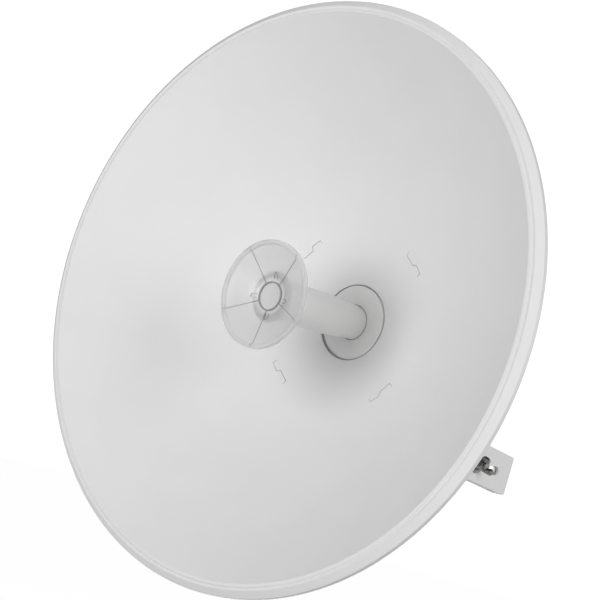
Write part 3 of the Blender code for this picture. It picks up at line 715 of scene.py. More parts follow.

# %% [markdown]
# ## The clear cup
# The sub-reflector's cup is a shallow clear moulding: a rim with a short skirt behind,
# an inner lip, and a cone down to a flat floor where it meets the tube. Seen edge on,
# clear plastic goes dark, because its light leaves elsewhere. That darkening is painted:
# the cup's fine edges, the five seams between its petals and the clips round its middle
# are thin ridges in a dark grey that is painted shade, and the nose ring is the same.

# %% Cup and nose
CUP_RADIUS = 0.0591
CUP_SKIRT = 0.0050
CUP_FLOOR_RADIUS = 0.0160
NOSE_HEIGHT = 0.0018
NOSE_HOLE_RADIUS = 0.0146

floor_height = CUP_FRONT - CUP_FLOOR_DEPTH
CUP_CONE = (
    (CUP_FLOOR_RADIUS + 0.002, floor_height), (0.0290, floor_height + 0.0042),
    (0.0430, floor_height + 0.0080), (CUP_RADIUS - 0.0052, CUP_FRONT - 0.0032))
cup = rounded([
    (0.0, floor_height), (*CUP_CONE[0], 0.001), (*CUP_CONE[1], 0.002), (*CUP_CONE[2], 0.002),
    (*CUP_CONE[3], 0.0010), (CUP_RADIUS - 0.0040, CUP_FRONT, 0.0006),
    (CUP_RADIUS, CUP_FRONT, 0.0008), (CUP_RADIUS, CUP_FRONT - CUP_SKIRT, 0.0003),
    (CUP_RADIUS - 0.0015, CUP_FRONT - CUP_SKIRT, 0.0003),
    (CUP_RADIUS - 0.0045, CUP_FRONT - CUP_SKIRT + 0.0004, 0.0006),
    (0.0430, floor_height + 0.0060, 0.002), (0.0300, floor_height + 0.0024, 0.002),
    (CUP_FLOOR_RADIUS + 0.003, floor_height - CUP_SHEET, 0.001), (0.0, floor_height - CUP_SHEET)], 0.0)
cup_mesh = set_dense(turned(cup, 128, FEED), FEED, lambda radius, height: HAZE_FLOOR if radius < 0.0285 else 0.0)
link_piece("cup_shell", cup_mesh, clear_plastic, "dish", "clear_plastic", "sub_reflector")

nose_floor = floor_height + GAP
nose = rounded([
    (NOSE_HOLE_RADIUS, nose_floor + NOSE_HEIGHT, 0.0003), (CUP_FLOOR_RADIUS, nose_floor + NOSE_HEIGHT, 0.0003),
    (CUP_FLOOR_RADIUS, nose_floor, 0.0), (NOSE_HOLE_RADIUS, nose_floor, 0.0)], 0.0, closed=True)
link_piece("cup_nose", turned(nose, 96, FEED, closed=True), painted_edge_shade, "dish", "clear_plastic", "feed_nose")


# %% Seams and clips as a ring of instances
def make_ring_tree(name):
    """Copies of one shape, set at a radius and turned evenly round the Z axis."""
    tree = bpy.data.node_groups.new(name, "GeometryNodeTree")
    tree.interface.new_socket("Geometry", in_out="INPUT", socket_type="NodeSocketGeometry")
    add_input(tree, "Shape", "NodeSocketObject", None)
    add_input(tree, "Count", "NodeSocketInt", 4)
    add_input(tree, "Start", "NodeSocketFloat", 0.0)
    add_input(tree, "Finish", "NodeSocketMaterial", None)
    tree.interface.new_socket("Geometry", in_out="OUTPUT", socket_type="NodeSocketGeometry")
    given = tree.nodes.new("NodeGroupInput").outputs
    result = tree.nodes.new("NodeGroupOutput")
    points = tree.nodes.new("GeometryNodePoints")
    tree.links.new(given["Count"], points.inputs["Count"])
    points.inputs["Radius"].default_value = 0.001
    index = tree.nodes.new("GeometryNodeInputIndex")
    turn = math_node(tree, "DIVIDE", index.outputs["Index"], given["Count"])
    angle = math_node(tree, "ADD", math_node(tree, "MULTIPLY", turn, 2 * math.pi), given["Start"])
    spin = tree.nodes.new("ShaderNodeCombineXYZ")
    tree.links.new(angle, spin.inputs["Z"])
    shape = tree.nodes.new("GeometryNodeObjectInfo")
    shape.transform_space = "ORIGINAL"
    tree.links.new(given["Shape"], shape.inputs["Object"])
    copies = tree.nodes.new("GeometryNodeInstanceOnPoints")
    tree.links.new(points.outputs["Points"], copies.inputs["Points"])
    tree.links.new(shape.outputs["Geometry"], copies.inputs["Instance"])
    tree.links.new(spin.outputs["Vector"], copies.inputs["Rotation"])
    real = tree.nodes.new("GeometryNodeRealizeInstances")
    tree.links.new(copies.outputs["Instances"], real.inputs["Geometry"])
    coat = tree.nodes.new("GeometryNodeSetMaterial")
    tree.links.new(real.outputs["Geometry"], coat.inputs["Geometry"])
    tree.links.new(given["Finish"], coat.inputs["Material"])
    tree.links.new(coat.outputs["Geometry"], result.inputs["Geometry"])
    return tree


RING_TREE = make_ring_tree("ring_of_copies")


def ring_of(mesh, count, start_degrees, matrix, material):
    """One mesh of evenly turned copies."""
    pattern = loose(mesh, "pattern")
    result = run_tree(RING_TREE, {
        "Shape": pattern, "Count": count, "Start": math.radians(start_degrees), "Finish": material})
    bpy.data.objects.remove(pattern, do_unlink=True)
    result.transform(matrix)
    return result


def ridge(points, width, height):
    """A thin ridge that stands on a path of (x, y, z) points."""
    flat = [Vector(point[:2]) for point in points]
    outline = ribbon(flat, width)
    count = len(points)
    heights = [point[2] for point in points] + [point[2] for point in reversed(points)]
    shape = bmesh.new()
    low = [shape.verts.new((*point, z - height / 2)) for point, z in zip(outline, heights)]
    high = [shape.verts.new((*point, z + height / 2)) for point, z in zip(outline, heights)]
    for index in range(count - 1):
        a, b, c, d = index, index + 1, 2 * count - 2 - index, 2 * count - 1 - index
        shape.faces.new((high[a], high[b], high[c], high[d]))
        shape.faces.new((low[d], low[c], low[b], low[a]))
    for index in range(2 * count):
        following = (index + 1) % (2 * count)
        shape.faces.new((low[index], low[following], high[following], high[index]))
    bmesh.ops.recalc_face_normals(shape, faces=shape.faces)
    mesh = bpy.data.meshes.new("ridge")
    shape.to_mesh(mesh)
    shape.free()
    return mesh


SEAM_WIDTH = 0.0006
SEAM_TURNS = (51.5, 125.5, 203.5, 270.0, 337.0)
CLIP_TURNS = (83.0, 185.0, 276.0, 351.0)
CLIP_RADIUS = 0.0225
CLIP_LENGTH = 0.0070
CLIP_HALF = 0.0021

seam_path = [(radius, 0.0, height) for radius, height in CUP_CONE]
seam_path[0] = (NOSE_HOLE_RADIUS, 0.0, floor_height + NOSE_HEIGHT)
seam_path.append((CUP_RADIUS - 0.0041, 0.0, CUP_FRONT - 0.0001))
seam_path.append((CUP_RADIUS - 0.0004, 0.0, CUP_FRONT))
seams = [ring_of(ridge(seam_path, SEAM_WIDTH, 0.0007), 1, turn, FEED, painted_edge_shade) for turn in SEAM_TURNS]


def cone_height(radius):
    """Height of the cup's front face at a radius."""
    return float(np.interp(radius, [point[0] for point in CUP_CONE], [point[1] for point in CUP_CONE]))


clip_path = [(CLIP_RADIUS - CLIP_LENGTH / 2, -CLIP_HALF)]
clip_path += arc((CLIP_RADIUS + CLIP_LENGTH / 2 - CLIP_HALF, 0.0), CLIP_HALF, -90, 90, 6)
clip_path.append((CLIP_RADIUS - CLIP_LENGTH / 2, CLIP_HALF))
clip_path = [(x, y, cone_height(x)) for x, y in clip_path]
clips = [ring_of(ridge(clip_path, 0.0008, 0.0010), 1, turn, FEED, painted_edge_shade) for turn in CLIP_TURNS]
# The seams and clips carry the painted shade of the dark edge grey.
link_piece("cup_seams", joined(seams + clips), painted_edge_shade, "dish", "clear_plastic")

# %% [markdown]
# ## Small parts that repeat
# Screws, bolts and nuts come from four helpers: a chamfered hexagon, a threaded rod, a
# round screw head and a softened outline. A thread is drawn as a row of turned V grooves
# at the real pitch, which no eye tells from a helix at this size.

# %% Helpers for fasteners
def hexagon(flats):
    return arc((0.0, 0.0), flats / math.sqrt(3), 0, 300, 5)


def hex_block(flats, thick, matrix, chamfer_base=False):
    """A hexagon with its corners turned off at one end, or at both. Its base is at local Z 0."""
    corner = flats / math.sqrt(3)
    face = flats / 2 * 0.97
    drop = (corner - face) * 0.55
    base = [(0.0, 0.0), (face, 0.0), (corner, drop)] if chamfer_base else [(0.0, 0.0), (corner, 0.0)]
    profile = base + [(corner, thick - drop), (face, thick), (0.0, thick)]
    blank = prism(hexagon(flats), 0.0, thick, Matrix.Identity(4))
    block = cut(blank, [turned(profile, 48, Matrix.Identity(4))], "INTERSECT")
    block.transform(matrix)
    return smooth(block, 25)


def thread_profile(radius, start, end, pitch):
    """Points down a threaded stretch of a profile, from its end to its start."""
    depth = pitch * 0.5
    count = max(2, round((end - start) / pitch))
    step = (end - start) / count
    points = [(radius - depth, end), (radius - depth * 0.5, end)]
    for index in range(count):
        top = end - index * step
        points.append((radius, top - step * 0.35))
        points.append((radius, top - step * 0.60))
        points.append((radius - depth, top - step * 0.95))
    points.append((radius, start))
    return points


def threaded_rod(radius, start, end, thread_start, pitch, matrix, steps=32):
    """A rod along local Z with a thread at its far end."""
    profile = [(0.0, end)] + thread_profile(radius, thread_start, end, pitch) + [(radius, start), (0.0, start)]
    return turned(profile, steps, matrix)


def ring_block(inner, outer, thick, matrix, soft=0.0003):
    """A washer with its base at local Z 0."""
    profile = rounded([(inner, thick, soft), (outer, thick, soft), (outer, 0.0, soft), (inner, 0.0, soft)],
                      soft, closed=True, count=2)
    return turned(profile, 64, matrix, closed=True)


def screw_head(radius, height, matrix):
    """A pan head with a cross recess."""
    profile = rounded([(0.0, height), (radius * 0.7, height, radius * 0.25), (radius, 0.0)], 0.0, count=4)
    profile = [(0.0, height)] + profile[1:] + [(0.0, 0.0)]
    head = turned(profile, 32, Matrix.Identity(4))
    arm = radius * 0.55
    slots = []
    for turn in (0, 90):
        slot = rounded_box((2 * arm, radius * 0.22, height), (0.0, 0.0, height * 0.45),
                           Matrix.Rotation(math.radians(turn), 4, "Z"), radius * 0.04)
        slots.append(slot)
    head = cut(head, slots)
    head.transform(matrix)
    return smooth(head)


def at(back, up, across=0.0):
    """World point for a place behind the vertex, above the dish axis and across."""
    return Vector((across, back + VERTEX_Y, up + AXIS_Z))


def facing_forward(point):
    return Matrix.Translation(point) @ Matrix.Rotation(math.pi / 2, 4, "X")


def facing_back(point):
    return Matrix.Translation(point) @ Matrix.Rotation(-math.pi / 2, 4, "X")


def facing_across(point):
    return Matrix.Translation(point) @ Matrix.Rotation(math.pi / 2, 4, "Y")


# %% [markdown]
# ## Housing behind the hub
# The electronics sit in a round grey housing. Its shoulder closes the hub hole from
# behind, cooling ribs run along the body, and a lid with six screws carries two capped
# cable ports. The ribs are one shape turned round by the same Geometry Nodes tree.

# %% Housing, ribs and lid
SHOULDER_RADIUS = 0.0540
SHOULDER_BACK = 0.0045
HOUSING_RADIUS = 0.0420
HOUSING_LENGTH = 0.0640
RIB_DEPTH = 0.0016
RIB_COUNT = 30
LID_THICK = 0.0070

AXIS = facing_forward(at(0.0, 0.0))
shoulder_front = dish_height(HUB_HOLE_RADIUS) - SHEET - GAP
flange_back = dish_height(FLANGE_RADIUS) - FLANGE_THICK - 0.0026
housing = rounded([
    (0.0, flange_back), (FLANGE_RADIUS - 0.0004, flange_back, 0.0004),
    (FLANGE_RADIUS + 0.0002, shoulder_front, 0.0), (SHOULDER_RADIUS, shoulder_front, 0.0008),
    (SHOULDER_RADIUS, -SHOULDER_BACK, 0.0010), (HOUSING_RADIUS - RIB_DEPTH, -SHOULDER_BACK, 0.0020),
    (HOUSING_RADIUS - RIB_DEPTH, -0.0560, 0.0008), (HOUSING_RADIUS, -0.0570, 0.0008),
    (HOUSING_RADIUS, -HOUSING_LENGTH, 0.0006), (0.0, -HOUSING_LENGTH)], 0.0)
body = turned(housing, 128, AXIS)
rib = rounded_box((2 * RIB_DEPTH, 0.0022, 0.0400), (HOUSING_RADIUS - RIB_DEPTH, 0.0, -0.0575), Matrix.Identity(4))
ribs = ring_of(rib, RIB_COUNT, 6.0, AXIS, grey_plastic)
link_piece("housing_body", smooth(joined([body, ribs])), grey_plastic, "dish", "grey_plastic", "feed_housing")

lid_top = -HOUSING_LENGTH - GAP
lid_end = lid_top - LID_THICK
lid = rounded([
    (0.0, lid_top), (HOUSING_RADIUS, lid_top, 0.0004), (HOUSING_RADIUS, lid_end, 0.0026),
    (HOUSING_RADIUS - 0.0110, lid_end, 0.0004), (HOUSING_RADIUS - 0.0115, lid_end + 0.0010, 0.0004),
    (0.0, lid_end + 0.0010)], 0.0)
link_piece("housing_cover", turned(lid, 128, AXIS), grey_plastic, "dish", "grey_plastic", "housing_lid")
head = screw_head(0.0028, 0.0016, Matrix.Rotation(math.pi, 4, "X"))
head.transform(Matrix.Translation((0.0365, 0.0, lid_end + 0.0001)))
link_piece("lid_screws", smooth(ring_of(head, 6, 30.0, AXIS, nickel)), nickel, "dish", "nickel")

# %% [markdown]
# ## Cable ports
# Each port is a threaded nickel barrel on a hexagon collar. Its rubber dust cap has
# flutes for the fingers: an outline whose radius goes up and down round the circle.

# %% Cable ports and caps
PORT_OFFSET = 0.0190
PORT_RADIUS = 0.0075
PORT_LENGTH = 0.0160
PORT_COLLAR_HEIGHT = 0.0040
CAP_RADIUS = 0.0105
CAP_LENGTH = 0.0110
CAP_FLUTES = 20

for side, word in ((1, "right"), (-1, "left")):
    base = facing_back(at(-lid_end + GAP - 0.0010, 0.0, side * PORT_OFFSET))
    collar = hex_block(0.0200, PORT_COLLAR_HEIGHT + 0.0010, base)
    barrel = threaded_rod(PORT_RADIUS, 0.0, PORT_LENGTH + 0.0010, PORT_COLLAR_HEIGHT + 0.0020, 0.0012, base, 48)
    link_piece("port_barrel_" + word, smooth(joined([collar, barrel])), nickel, "dish", "nickel", "cable_port_" + word)
    outline = []
    for index in range(CAP_FLUTES * 8):
        angle = 2 * math.pi * index / (CAP_FLUTES * 8)
        radius = CAP_RADIUS - 0.00035 + 0.00035 * math.cos(CAP_FLUTES * angle)
        outline.append((radius * math.cos(angle), radius * math.sin(angle)))
    cap_base = PORT_LENGTH + GAP + 0.0010
    blank = prism(outline, cap_base, cap_base + CAP_LENGTH, Matrix.Identity(4))
    keep = turned(rounded([
        (0.0, cap_base + CAP_LENGTH), (CAP_RADIUS + 0.0001, cap_base + CAP_LENGTH, 0.0022),
        (CAP_RADIUS + 0.0001, cap_base, 0.0005), (0.0, cap_base)], 0.0), 96, Matrix.Identity(4))
    cap = cut(blank, [keep], "INTERSECT")
    cap.transform(base)
    link_piece("dust_cap_" + word, smooth(cap), black_rubber, "dish", "black_rubber", "port_cap_" + word)

# %% [markdown]
# ## Back plate and standoffs
# A flat plate stands on four round spacers behind the reflector. The spacers' front ends
# are cut to the bowl's own curve. Hexagon screws hold the plate to them from behind.

# %% Plate, standoffs and their screws
PLATE_BACK = 0.0120
PLATE_THICK = 0.0030
PLATE_SIZE = 0.1760
PLATE_CORNER = 0.0160
PLATE_HOLE_RADIUS = 0.0460
STANDOFF_RADIUS = 0.0090
STANDOFF_OFFSET = 0.0735


def softened(mesh, width=0.0004, angle=50, segments=2):
    """A copy whose sharp edges are rounded."""
    obj = loose(mesh)
    bevel = obj.modifiers.new("soft", "BEVEL")
    bevel.limit_method = "ANGLE"
    bevel.angle_limit = math.radians(angle)
    bevel.width = width
    bevel.segments = segments
    bevel.use_clamp_overlap = True
    return smooth(applied(obj), 30)


def evened(mesh):
    """A copy whose large flat faces shade flat, with the roundings blended into them."""
    obj = loose(mesh)
    even = obj.modifiers.new("even", "WEIGHTED_NORMAL")
    even.keep_sharp = True
    return applied(obj)


def welded(mesh, flat_degrees=0.5):
    """A mesh with its doubled points and needless edges taken out."""
    shape = bmesh.new()
    shape.from_mesh(mesh)
    bmesh.ops.remove_doubles(shape, verts=shape.verts, dist=0.00002)
    bmesh.ops.dissolve_limit(shape, angle_limit=math.radians(flat_degrees), verts=shape.verts, edges=shape.edges)
    shape.to_mesh(mesh)
    shape.free()
    return mesh


corners = ((1, 1), (-1, 1), (-1, -1), (1, -1))
half = PLATE_SIZE / 2 - PLATE_CORNER
outline = []
for turn, (x, y) in enumerate(corners):
    outline += arc((x * half, y * half), PLATE_CORNER, 90 * turn, 90 * turn + 90, 12)
plate_front = facing_forward(at(PLATE_BACK + PLATE_THICK, 0.0))
plate = prism(outline, 0.0, PLATE_THICK, Matrix.Identity(4))
hole = turned([(0.0, 0.01), (PLATE_HOLE_RADIUS, 0.01), (PLATE_HOLE_RADIUS, -0.01), (0.0, -0.01)], 96, Matrix.Identity(4))
plate = softened(cut(plate, [hole]), 0.0005, 60)
plate.transform(plate_front)
link_piece("carrier_plate", evened(plate), white_paint, "dish", "white_paint", "back_plate")

shell = [(0.0, 0.2)] + [(0.18, 0.2)]
shell += [(radius, dish_height(radius) - SHEET - GAP) for radius in np.linspace(0.18, 0.0, 60)]
for word, (x, y) in zip(("top_right", "top_left", "bottom_left", "bottom_right"), corners):
    foot = at(PLATE_BACK - GAP, y * STANDOFF_OFFSET, x * STANDOFF_OFFSET)
    bar = turned(rounded([
        (0.0, 0.0450), (STANDOFF_RADIUS, 0.0450, 0.0), (STANDOFF_RADIUS, 0.0, 0.0006), (0.0, 0.0)], 0.0),
        48, facing_forward(foot))
    bar = smooth(cut(bar, [turned(shell, 180, AXIS)]))
    link_piece("spacer_" + word, bar, galvanised, "dish", "galvanised_steel", "standoff_" + word)

plate_back_face = PLATE_BACK + PLATE_THICK
screws = []
for x, y in corners:
    spot = facing_back(at(plate_back_face, y * STANDOFF_OFFSET, x * STANDOFF_OFFSET))
    screws.append(ring_block(0.0032, 0.0070, 0.0012, spot))
    screws.append(hex_block(0.0100, 0.0040, spot @ Matrix.Translation((0.0, 0.0, 0.0012))))
link_piece("plate_screws", smooth(joined(screws), 25), galvanised, "dish", "galvanised_steel")

# %% [markdown]
# ## The forked arms
# Each arm is one folded sheet: a flat side, a lip folded in along its lower edge and a
# flange folded out against the plate. The flat outline is drawn in side view, the strips
# are pulled off its straight edges, and two modifiers round the folds and add the sheet's
# thickness. The slot is an arc about the elevation pivot.

# %% Arms
PIVOT = Vector((0.2650, 0.0800))
SLOT_BOLT = Vector((0.2360, -0.1112))
SLOT_FRONT_ANGLE = 12.35
SLOT_REAR_ANGLE = 13.85
SLOT_WIDTH = 0.0110
ARM_OUTSIDE = 0.0530
ARM_SHEET = 0.0030
ARM_FRONT_HALF = 0.0840
ARM_FLANGE = 0.0300
ARM_SLOPE = math.radians(4.2)
ARM_END = 0.0795
ARM_OVER_BOLT = 0.0271
ARM_UNDER_BOLT = 0.0219
ARM_LIP = 0.0150
ARM_LIP_START = -0.0902
ARM_CORNER = 0.0040
LOBE_RADIUS = 0.0180
FORK_BACK = 0.1150
FORK_RADIUS = 0.0400
FORK_TOP_CENTER = 0.0080


def along_arm(along, over):
    """Side-view point (back, up) from the slot bolt, along and square to the lower branch."""
    return (SLOT_BOLT.x + along * math.cos(ARM_SLOPE) + over * math.sin(ARM_SLOPE),
            SLOT_BOLT.y - along * math.sin(ARM_SLOPE) + over * math.cos(ARM_SLOPE))


def arm_outline():
    front = plate_back_face + GAP + ARM_SHEET
    slope = -math.degrees(ARM_SLOPE)
    points = [(front, -ARM_FRONT_HALF), along_arm(ARM_LIP_START, -ARM_UNDER_BOLT)]
    points += arc(along_arm(ARM_END - ARM_CORNER, ARM_CORNER - ARM_UNDER_BOLT), ARM_CORNER, -90 + slope, slope, 8)
    points += arc(along_arm(ARM_END - ARM_CORNER / 2, ARM_OVER_BOLT - ARM_CORNER / 2), ARM_CORNER / 2,
                  slope, 90 + slope, 5)
    middle = along_arm(FORK_BACK + FORK_RADIUS - SLOT_BOLT.x, ARM_OVER_BOLT + FORK_RADIUS)
    points += arc(middle, FORK_RADIUS, 270 + slope, 180, 18)
    points += arc((middle[0], FORK_TOP_CENTER), FORK_RADIUS, 180, 98, 18)
    points += arc(PIVOT, LOBE_RADIUS, -85, 92, 28)
    points.append((front, ARM_FRONT_HALF))
    return points


def slot_outline():
    reach = (SLOT_BOLT - PIVOT).length
    bolt = math.degrees(math.atan2(SLOT_BOLT.y - PIVOT.y, SLOT_BOLT.x - PIVOT.x))
    front, rear = bolt - SLOT_FRONT_ANGLE, bolt + SLOT_REAR_ANGLE
    ends = arc(PIVOT, reach, front, rear, 1)
    points = arc(PIVOT, reach + SLOT_WIDTH / 2, front, rear, 30)
    points += arc(ends[1], SLOT_WIDTH / 2, rear, rear + 180, 16)[1:-1]
    points += arc(PIVOT, reach - SLOT_WIDTH / 2, rear, front, 30)
    points += arc(ends[0], SLOT_WIDTH / 2, front + 180, front + 360, 16)[1:-1]
    return points


def side_view(across):
    """Puts an outline drawn as (back, up) into the world at a place across."""
    columns = Matrix(((0.0, 0.0, 1.0), (1.0, 0.0, 0.0), (0.0, 1.0, 0.0))).to_4x4()
    return Matrix.Translation(at(0.0, 0.0, across)) @ columns


def fold(shape, start, end, shift):
    """Fold a strip off the boundary edge between two outline points."""
    edges = []
    for edge in shape.edges:
        ends = [Vector(vertex.co[:2]) for vertex in edge.verts]
        near = [min((point - Vector(goal)).length for point in ends) for goal in (start, end)]
        if edge.is_boundary and max(near) < 1e-5:
            edges.append(edge)
    made = bmesh.ops.extrude_edge_only(shape, edges=edges)
    moved = [item for item in made["geom"] if isinstance(item, bmesh.types.BMVert)]
    bmesh.ops.translate(shape, verts=moved, vec=shift)


def folded_sheet(mesh, thickness, radius):
    """The sheet with round folds and a thickness behind its face."""
    obj = loose(mesh)
    bend = obj.modifiers.new("bends", "BEVEL")
    bend.limit_method = "ANGLE"
    bend.width = radius
    bend.segments = 6
    thicken = obj.modifiers.new("sheet", "SOLIDIFY")
    thicken.solidify_mode = "NON_MANIFOLD"
    thicken.nonmanifold_thickness_mode = "CONSTRAINTS"
    thicken.nonmanifold_merge_threshold = 0.00001
    thicken.thickness = thickness
    thicken.offset = -1.0
    return applied(obj)


def bore(point, radius, half_length):
    """A cutter across the dish's middle plane."""
    profile = [(0.0, half_length), (radius, half_length), (radius, -half_length), (0.0, -half_length)]
    return turned(profile, 48, facing_across(point))


for side, word in ((1, "right"), (-1, "left")):
    outline = arm_outline()
    shape = bmesh.new()
    shape.faces.new([shape.verts.new((x, y, 0.0)) for x, y in outline])
    shape.edges.ensure_lookup_table()
    fold(shape, outline[1], along_arm(ARM_END - ARM_CORNER, -ARM_UNDER_BOLT), (0.0, 0.0, -ARM_LIP))
    fold(shape, outline[0], outline[-1], (0.0, 0.0, ARM_FLANGE))
    bmesh.ops.recalc_face_normals(shape, faces=shape.faces)
    flat = max(shape.faces, key=lambda face: face.calc_area())
    if flat.normal.z < 0:
        bmesh.ops.reverse_faces(shape, faces=shape.faces)
    shape.transform(side_view(ARM_OUTSIDE))
    if side < 0:
        shape.transform(Matrix.Scale(-1.0, 4, (1.0, 0.0, 0.0)))
        bmesh.ops.reverse_faces(shape, faces=shape.faces)
    mesh = bpy.data.meshes.new("arm")
    shape.to_mesh(mesh)
    shape.free()
    arm = folded_sheet(mesh, ARM_SHEET, 0.0040)
    across = side * (ARM_OUTSIDE - ARM_SHEET / 2)
    slot = prism(slot_outline(), -0.01, 0.01, side_view(across))
    pivot_hole = bore(at(PIVOT.x, PIVOT.y, across), 0.0055, 0.01)
    arm = cut(arm, [slot, pivot_hole])
    arm = evened(softened(welded(arm, 0.1), 0.00045, 60))
    link_piece("fork_arm_" + word, arm, white_paint, "dish", "white_paint", "arm_" + word)

arm_screws = []
for side in (1, -1):
    for up in (0.058, -0.058):
        spot = facing_back(at(plate_back_face + GAP + ARM_SHEET, up, side * 0.0700))
        arm_screws.append(ring_block(0.0042, 0.0080, 0.0014, spot))
        arm_screws.append(hex_block(0.0130, 0.0053, spot @ Matrix.Translation((0.0, 0.0, 0.0014))))
        ahead = facing_forward(at(PLATE_BACK, up, side * 0.0700))
        arm_screws.append(hex_block(0.0130, 0.0060, ahead, True))
        arm_screws.append(threaded_rod(0.0040, 0.0, 0.0090, 0.0055, 0.00125, ahead))
link_piece("arm_screws", smooth(joined(arm_screws), 25), galvanised, "dish", "galvanised_steel")

# %% [markdown]
# ## The pole bracket
# The bracket is a channel folded from 4 mm sheet, dipped in zinc: a web against the pole,
# and two wings that run down past it and end in lugs behind the arms' slots. It is made
# the same way as the arms, and a raised pad is pressed out where it meets the pole.

# %% Pole bracket
WEB_BACK = 0.2780
WEB_SHEET = 0.0040
WEB_FOOT = -0.0480
WING_FRONT = 0.2220
BRACKET_OUTSIDE = 0.0495
BRACKET_TOP = 0.0960
BRACKET_BOTTOM = -0.1215
NECK_BACK = 0.2560
LUG_TOP = -0.1000
LUG_BACK = 0.2935
LUG_CORNER = 0.0040
PAD = (0.0360, 0.0050, 0.0400)
U_BOLT_HEIGHTS = (0.0480, -0.0200)
U_BOLT_HALF = 0.0290

outline = [(NECK_BACK, LUG_TOP)]
outline += arc((LUG_BACK - LUG_CORNER, LUG_TOP - LUG_CORNER), LUG_CORNER, 90, 0, 8)
outline += arc((LUG_BACK - LUG_CORNER, BRACKET_BOTTOM + LUG_CORNER), LUG_CORNER, 0, -90, 8)
outline += [(WING_FRONT, BRACKET_BOTTOM), (WING_FRONT, BRACKET_TOP)]
shape = bmesh.new()
corners = []
for side in (1, -1):
    x = side * BRACKET_OUTSIDE
    foot, top = [shape.verts.new((x, up, 0.0)) for up in (WEB_FOOT, BRACKET_TOP)]
    wing = [shape.verts.new((x, up, WEB_BACK - back)) for back, up in outline]
    shape.faces.new([foot, *wing, top])
    corners.append((foot, top))
(foot, top), (other_foot, other_top) = corners
web = shape.faces.new((foot, top, other_top, other_foot))
bmesh.ops.recalc_face_normals(shape, faces=shape.faces)
if web.normal.z > 0:
    bmesh.ops.reverse_faces(shape, faces=shape.faces)
shape.transform(facing_forward(at(WEB_BACK, 0.0)))
mesh = bpy.data.meshes.new("bracket")
shape.to_mesh(mesh)
shape.free()
bracket = folded_sheet(mesh, WEB_SHEET, 0.0055)
pad = rounded_box(PAD, (0.0, -PAD[1] / 2, -PAD[2] / 2), Matrix.Identity(4), 0.0008)
bracket = cut(bracket, [pad], "UNION")
cutters = [bore(at(point.x, point.y), 0.0053, 0.07) for point in (PIVOT, SLOT_BOLT)]
for up in U_BOLT_HEIGHTS:
    for side in (1, -1):
        drill = [(0.0, 0.01), (0.0046, 0.01), (0.0046, -0.01), (0.0, -0.01)]
        cutters.append(turned(drill, 32, facing_back(at(WEB_BACK, up, side * U_BOLT_HALF))))
bracket = evened(softened(welded(cut(bracket, cutters), 0.1), 0.0005, 60))
link_piece("channel_bracket", bracket, galvanised, "bracket", "galvanised_steel", "pole_bracket")

# %% [markdown]
# ## U-bolts
# Each U-bolt is a rod on a U-shaped path, with a thread on both legs and a chamfered nut
# on each thread.

# %% U-bolts and nuts
U_BOLT_ROD = 0.0040
U_THREAD_END = 0.0165
U_NUT_FLATS = 0.0130
U_NUT_THICK = 0.0065


def swept_rod(points, radius, sides=24):
    """A round rod along a flat path of points in world space."""
    curve = bpy.data.curves.new("rod", "CURVE")
    curve.dimensions = "3D"
    curve.bevel_depth = radius
    curve.bevel_resolution = sides // 4 - 1
    curve.use_fill_caps = True
    spline = curve.splines.new("POLY")
    spline.points.add(len(points) - 1)
    for point, spot in zip(spline.points, points):
        point.co = (*spot, 1.0)
    obj = bpy.data.objects.new("rod", curve)
    bpy.context.scene.collection.objects.link(obj)
    return smooth(applied(obj))


web_front = WEB_BACK - WEB_SHEET
for word, up in zip(("upper", "lower"), U_BOLT_HEIGHTS):
    middle = U_BOLT_HALF - U_BOLT_ROD - 0.001
    z = up + AXIS_Z
    path = [(U_BOLT_HALF, 0.002, z)]
    path += [(x, y, z) for x, y in arc((0.0, middle), U_BOLT_HALF, 0, 180, 48)]
    path.append((-U_BOLT_HALF, 0.002, z))
    legs = [swept_rod(path, U_BOLT_ROD)]
    for side in (1, -1):
        start = facing_forward(Vector((side * U_BOLT_HALF, 0.002, z)))
        reach = 0.002 - (web_front + VERTEX_Y) + U_THREAD_END
        legs.append(threaded_rod(U_BOLT_ROD, 0.0, reach, 0.004, 0.00125, start))
    link_piece("u_rod_" + word, smooth(joined(legs)), galvanised, "bracket", "galvanised_steel", "u_bolt_" + word)
    for side, hand in ((1, "right"), (-1, "left")):
        spot = facing_forward(at(web_front - GAP, up, side * U_BOLT_HALF))
        nut = hex_block(U_NUT_FLATS, U_NUT_THICK, spot, True)
        link_piece(f"u_nut_{word}_{hand}", nut, galvanised, "bracket", "galvanised_steel",
                   f"u_bolt_nut_{word}_{hand}")

# %% [markdown]
# ## Cross bolts and wing nut
# The elevation pivot is a hexagon bolt with a nut. The slot bolt has a wing nut, so that
# the tilt can be set by hand. It is the one dark fastener, in a mottled zinc plate.

# %% Cross bolts, washers and nuts
HEAD_FLATS = 0.0160
HEAD_THICK = 0.0064
NUT_THICK = 0.0080
WASHER_RADIUS = 0.0115
WASHER_THICK = 0.0020
BOLT_RADIUS = 0.0050
RUNNING_GAP = 0.0005
WING_HUB_HEIGHT = 0.0100
BOLT_PROUD = 0.0030

washer_inside = ARM_OUTSIDE + RUNNING_GAP
bearing = washer_inside + WASHER_THICK + GAP


def across_bolt(point, end):
    """Hexagon head on the left, shank through the arms, thread on the right."""
    head = hex_block(HEAD_FLATS, HEAD_THICK, Matrix.Rotation(math.pi, 4, "X"))
    head.transform(facing_across(at(point.x, point.y)) @ Matrix.Translation((0.0, 0.0, -bearing)))
    shank = threaded_rod(BOLT_RADIUS, -bearing, end, 0.030, 0.0015, facing_across(at(point.x, point.y)), 40)
    return smooth(joined([head, shank]), 25)


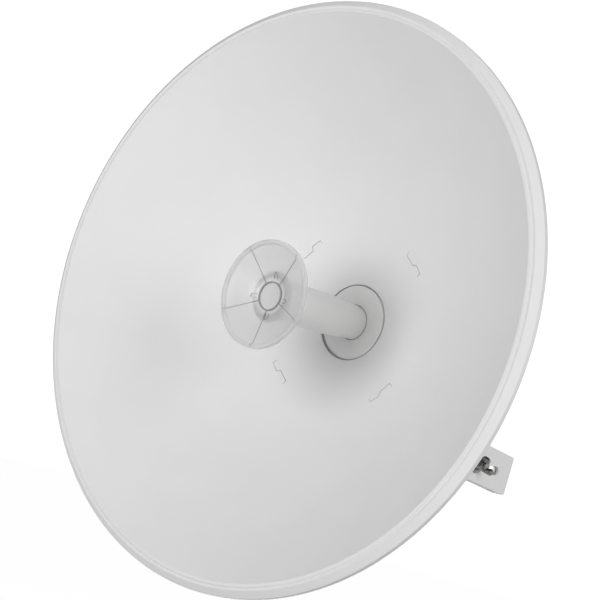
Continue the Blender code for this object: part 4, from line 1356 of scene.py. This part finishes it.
for label, point, material, slot_name in (
        ("pivot", PIVOT, galvanised, "galvanised_steel"), ("slot", SLOT_BOLT, dark_zinc, "dark_zinc")):
    nut_height = NUT_THICK if label == "pivot" else WING_HUB_HEIGHT
    bolt = across_bolt(point, bearing + nut_height + BOLT_PROUD)
    link_piece(label + "_cross_bolt", bolt, material, "bracket", slot_name, label + "_bolt")
    for side, word in ((1, "right"), (-1, "left")):
        inner = washer_inside if side > 0 else -washer_inside - WASHER_THICK
        washer = ring_block(0.0053, WASHER_RADIUS, WASHER_THICK, facing_across(at(point.x, point.y, inner)))
        link_piece(f"{label}_disc_{word}", washer, material, "bracket", slot_name, f"{label}_washer_{word}")
nut = hex_block(HEAD_FLATS, NUT_THICK, facing_across(at(PIVOT.x, PIVOT.y, bearing)), True)
link_piece("pivot_hex_nut", nut, galvanised, "bracket", "galvanised_steel", "pivot_nut")

# %% [markdown]
# The wing nut is a turned hub with two upright ears. An ear is a flat outline with a
# round tip, made thick and softened all round, and sunk into the hub.

# %% Wing nut
WING_SPAN = 0.0138
WING_RISE = 0.0185
WING_TIP_RADIUS = 0.0055
WING_THICK = 0.0040
WING_HUB_RADIUS = 0.0080
WING_TURN = math.radians(48)

spot = facing_across(at(SLOT_BOLT.x, SLOT_BOLT.y, bearing))
hub_profile = rounded([
    (0.0050, WING_HUB_HEIGHT, 0.0004), (WING_HUB_RADIUS - 0.0012, WING_HUB_HEIGHT, 0.0010),
    (WING_HUB_RADIUS, 0.0016, 0.0006), (WING_HUB_RADIUS, 0.0, 0.0004), (0.0050, 0.0, 0.0003)], 0.0, closed=True)
parts = [turned(hub_profile, 64, spot, closed=True)]
upright = Matrix.Rotation(WING_TURN, 4, "Z") @ Matrix.Rotation(math.pi / 2, 4, "X")
for side in (1, -1):
    tip = (WING_SPAN - WING_TIP_RADIUS, WING_RISE - WING_TIP_RADIUS)
    points = [(0.0058, 0.0012), (0.0082, 0.0012)]
    points += arc(tip, WING_TIP_RADIUS, -20, 125, 20)
    points.append((0.0058, WING_HUB_HEIGHT - 0.0012))
    ear = prism([(side * x, y) for x, y in points], -WING_THICK / 2, WING_THICK / 2, Matrix.Identity(4))
    ear = softened(ear, 0.0013, 40, 4)
    ear.transform(spot @ upright)
    parts.append(ear)
link_piece("wing_nut_cast", smooth(joined(parts)), dark_zinc, "bracket", "dark_zinc", "wing_nut")

# %% The end
bpy.context.view_layer.update()
